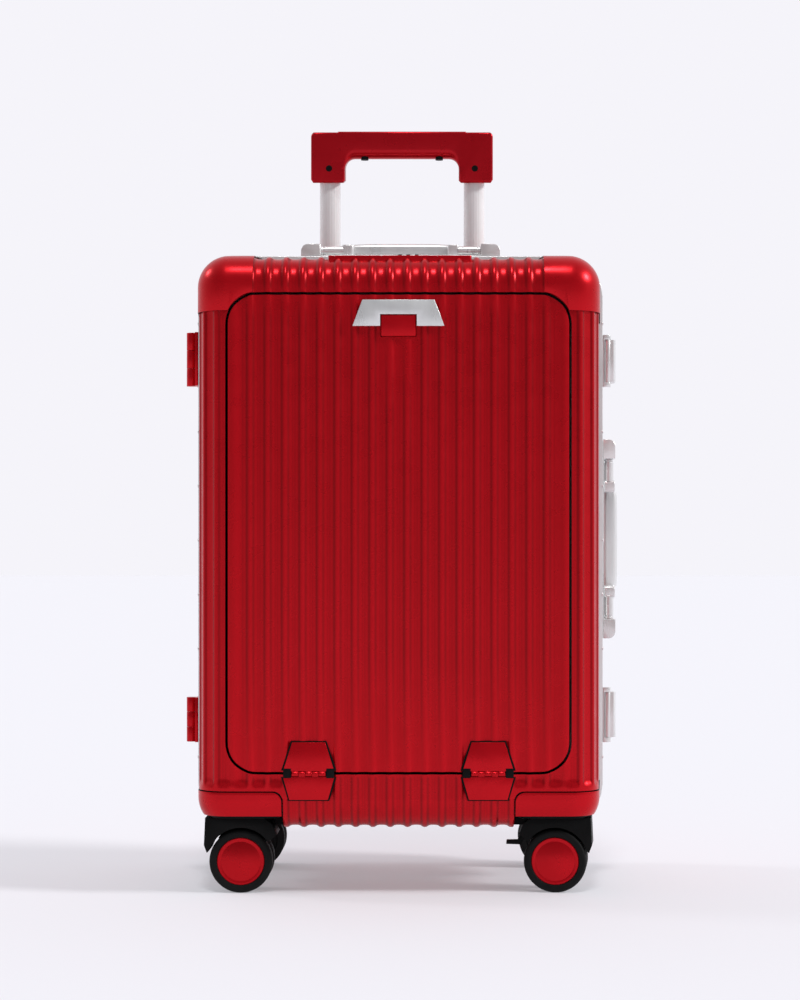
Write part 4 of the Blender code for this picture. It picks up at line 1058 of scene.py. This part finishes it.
def packing_straps():
    """Two straps that cross over the packing, with an anchor at each end and a buckle where they meet."""
    y, reach, low_reach = 30 * MM, 112 * MM, 82 * MM
    top = SKIN_HIGH - TOP_DRAFT * 0.2 + LINING_GROW - CLOTH
    bottom = SKIN_LOW + BOTTOM_DRAFT * 0.2 - LINING_GROW + CLOTH
    strap("strap_up_right", (-low_reach, bottom + 0.5 * MM), (reach, top - 0.5 * MM), y)
    strap("strap_up_left", (low_reach, bottom + 0.5 * MM), (-reach, top - 0.5 * MM), y + 2.0 * MM)
    for label, x, z, hang in (("top_left", -reach, top, -1), ("top_right", reach, top, -1),
                              ("bottom_left", -low_reach, bottom, 1), ("bottom_right", low_reach, bottom, 1)):
        outline = rounded((x - 20 * MM, y - 9 * MM), (x + 20 * MM, y + 11 * MM), 5 * MM, 6)
        tab = prism(f"strap_anchor_{label}", outline, "Z", *sorted((z, z + hang * 1.6 * MM)))
        finish_piece(bevel(tab, 0.5 * MM), "rear_case", BLACK)
    crossing = bottom + (top - bottom) * low_reach / (reach + low_reach)
    outline = rounded((-24 * MM, crossing - 20 * MM), (24 * MM, crossing + 20 * MM), 8 * MM, 8)
    buckle = prism("strap_buckle", outline, "Y", y - 5.5 * MM, y + 5.5 * MM)
    for x in (-1, 1):
        xs = ordered(x, 10 * MM, 19 * MM)
        outline = rounded((xs[0], crossing - 8 * MM), (xs[1], crossing + 8 * MM), 3 * MM, 5)
        boolean(buckle, prism("window", outline, "Y", y - 7 * MM, y - 2.5 * MM))
    finish_piece(bevel(buckle, 1.0 * MM, 3, 50), "rear_case", BLACK)


def zip_line(name, body, x_low, x_high, y, z, out):
    """A closed zip: its tape, its teeth and a slider with a pull. out is the way it faces along Y."""
    def flat_part(part, outline, near, far, slot_name, width, segments=2):
        piece = prism(f"{name}_{part}", outline, "Y", *sorted((y + out * near, y + out * far)), slot_name)
        finish_piece(bevel(piece, width, segments), body, slot_name)

    tape = rectangle((x_low, z - 6 * MM), (x_high, z + 6 * MM))
    flat_part("tape", tape, 0, 0.6 * MM, BLACK, 0.2 * MM, 1)
    pitch = 2.4 * MM
    bm = bmesh.new()
    for i in range(int((x_high - x_low - 8 * MM) / pitch)):
        shift = 0.7 * MM if i % 2 else -0.7 * MM
        place = Matrix.Translation((x_low + 5 * MM + i * pitch, y + out * 1.0 * MM, z + shift))
        size = Matrix.Diagonal((1.5 * MM, 1.4 * MM, 3.2 * MM, 1))
        bmesh.ops.create_cube(bm, size=1.0, matrix=place @ size)
    teeth = from_bmesh(f"{name}_teeth", bm, "silver")
    finish_piece(bevel(teeth, 0.25 * MM, 1), body, "silver")
    slider = rounded((x_high - 14 * MM, z - 4 * MM), (x_high - 5 * MM, z + 4 * MM), 2 * MM, 5)
    flat_part("slider", slider, 0.7 * MM, 4.2 * MM, "silver", 0.7 * MM)
    pull = rounded((x_high - 12.4 * MM, z - 24 * MM), (x_high - 6.6 * MM, z - 3 * MM), 2.8 * MM, 6)
    flat_part("pull", pull, 2.6 * MM, 3.8 * MM, "silver", 0.4 * MM)


def pocket_panel(name, body, low, high, y, out, radius, thick):
    """A stretched cloth panel with a piped edge of radius thick, on a face that looks along Y."""
    path = rounded(low, high, radius, 8)
    panel = prism(name, path, "Y", *sorted((y, y + out * 0.6 * MM)), "lining")
    finish_piece(bevel(panel, 0.2 * MM, 1), body, "lining")
    bm = bmesh.new()
    rings = []
    for i, (x, z) in enumerate(path):
        before, after = Vector(path[i - 1]), Vector(path[(i + 1) % len(path)])
        along = (after - before).normalized()
        ring = []
        for k in range(8):
            a = 2 * math.pi * k / 8
            c, d = math.cos(a) * thick, math.sin(a) * thick
            ring.append(bm.verts.new((x - along.y * c, y + out * thick + d, z + along.x * c)))
        rings.append(ring)
    join_rings(bm, rings + rings[:1])
    turn_outward(bm)
    finish_piece(from_bmesh(f"{name}_piping", bm, BLACK), body, BLACK)


for side in (-1, 1):
    lining(side)
packing_straps()
softened("pocket_tray", 1.2 * MM)
softened("trolley_housing", 2.0 * MM, 3)
PANEL_LOW = (TRAY_LOW.x + 10 * MM, TRAY_LOW.z + 10 * MM)
PANEL_HIGH = (TRAY_HIGH.x - 10 * MM, TRAY_HIGH.z - 10 * MM)
pocket_panel("inner_pocket", "lid", PANEL_LOW, PANEL_HIGH, TRAY_HIGH.y + 0.1 * MM, 1, 18 * MM,
             1.5 * MM)
pocket_panel("tray_sleeve", "lid", (TRAY_LOW.x + 8 * MM, TRAY_LOW.z + 8 * MM), (TRAY_HIGH.x - 8 * MM, 0.30),
             TRAY_HIGH.y - TRAY_WALL - 0.1 * MM, -1, 14 * MM, 1.6 * MM)
zip_line("tray_zip", "lid", TRAY_LOW.x + 24 * MM, TRAY_HIGH.x - 24 * MM,
         TRAY_HIGH.y - TRAY_WALL - 0.1 * MM, 0.40, -1)
pocket_panel("door_cloth", "door", (DOOR_LOW.x + 10 * MM, DOOR_LOW.z + 16 * MM),
             (DOOR_HIGH.x - 10 * MM, DOOR_HIGH.z - 42 * MM),
             -DEPTHS[-1] + SKIN_WALL + RIB_DEPTH + 0.05 * MM, 1, 18 * MM, 0.8 * MM)
zip_line("inner_zip", "lid", PANEL_LOW[0] + 18 * MM, PANEL_HIGH[0] - 18 * MM, TRAY_HIGH.y + 0.8 * MM,
         PANEL_HIGH[1] - 60 * MM, 1)

# Dark plates that hide the frame's bottom beside the casters.
for side in (-1, 1):
    for x in (-1, 1):
        xs = ordered(x, GUARD_LOW.x - 1.0 * MM, 150 * MM)
        ys = ordered(side, 12.4 * MM, 11.3 * MM)
        plate = box_piece(f"{END[side]}_frame_cover_{HAND[x]}",
                          (xs[0], ys[0], FRAME_LOW.z - 0.2 * MM),
                          (xs[1], ys[1], GUARD_LOW.z + GUARD_LIFT + 1 * MM))
        finish_piece(bevel(plate, 0.25 * MM, 1), BODY_OF_SIDE[side], BLACK)


# ---------------------------------------------------------------- stage, lights, camera

BACKGROUND = (0.915, 0.905, 0.955)
FLOOR_TONE = (0.545, 0.543, 0.571)
FLOOR_GLOW = 0.30


def sun(name, towards, energy, spread):
    """A soft, distant light. towards is the direction in which it is seen from the object."""
    light = bpy.data.lights.new(name, "SUN")
    light.energy = energy
    light.angle = math.radians(spread)
    linked(name, light).rotation_euler = Vector(towards).to_track_quat("Z", "Y").to_euler()


def stage():
    """A pale floor that runs on to the horizon, and a pale room that is dimmer in front of the object."""
    bm = bmesh.new()
    bmesh.ops.create_grid(bm, x_segments=1, y_segments=1, size=40.0)
    mesh = bpy.data.meshes.new("floor")
    bm.to_mesh(mesh)
    made = Shader("pale_floor", FLOOR_TONE, 0.95, Specular_IOR_Level=0.0, Emission_Color=(*BACKGROUND, 1.0),
                  Emission_Strength=FLOOR_GLOW)
    mesh.materials.append(made.material)
    linked("floor", mesh)
    world = bpy.data.worlds.new("studio")
    bpy.context.scene.world = world
    world.use_nodes = True
    nodes = world.node_tree.nodes
    seen = nodes["Background"]
    seen.inputs["Color"].default_value = (*BACKGROUND, 1.0)
    seen.inputs["Strength"].default_value = 1.0
    room = nodes.new("ShaderNodeBackground")
    coords = nodes.new("ShaderNodeTexCoord")
    split = nodes.new("ShaderNodeSeparateXYZ")
    ramp = nodes.new("ShaderNodeValToRGB")
    span = nodes.new("ShaderNodeMapRange")
    span.inputs["From Min"].default_value = -1.0
    ends = ramp.color_ramp.elements
    ends[0].position, ends[1].position = 0.25, 0.75
    ends[0].color = (0.30, 0.30, 0.31, 1.0)
    ends[1].color = (0.95, 0.95, 1.0, 1.0)
    room.inputs["Strength"].default_value = 0.86
    path = nodes.new("ShaderNodeLightPath")
    mix = nodes.new("ShaderNodeMixShader")
    for source, output, target, socket in (
            (coords, "Generated", split, 0), (split, "Y", span, "Value"), (span, "Result", ramp, "Fac"),
            (ramp, "Color", room, "Color"), (path, "Is Camera Ray", mix, "Fac"),
            (room, "Background", mix, 1), (seen, "Background", mix, 2),
            (mix, "Shader", nodes["World Output"], "Surface")):
        world.node_tree.links.new(source.outputs[output], target.inputs[socket])


def camera():
    """A long lens in front of the case, shifted so that the case stands where it does in the photo."""
    data = bpy.data.cameras.new("camera")
    data.lens = 79.8
    data.sensor_width = 36.0
    data.shift_x = -0.037
    data.shift_y = 0.061
    data.clip_end = 100.0
    made = linked("camera", data)
    made.location = (0.032, -1.956, 0.279)
    made.rotation_euler = (math.pi / 2, 0, 0)
    bpy.context.scene.camera = made


stage()
camera()
sun("right_softbox", (0.84, -0.20, 0.50), 2.0, 12)
sun("left_softbox", (-0.78, 0.20, 0.57), 0.45, 10)
sun("overhead", (0.0, -0.44, 0.90), 0.85, 9)
bpy.context.scene.view_settings.view_transform = "Standard"
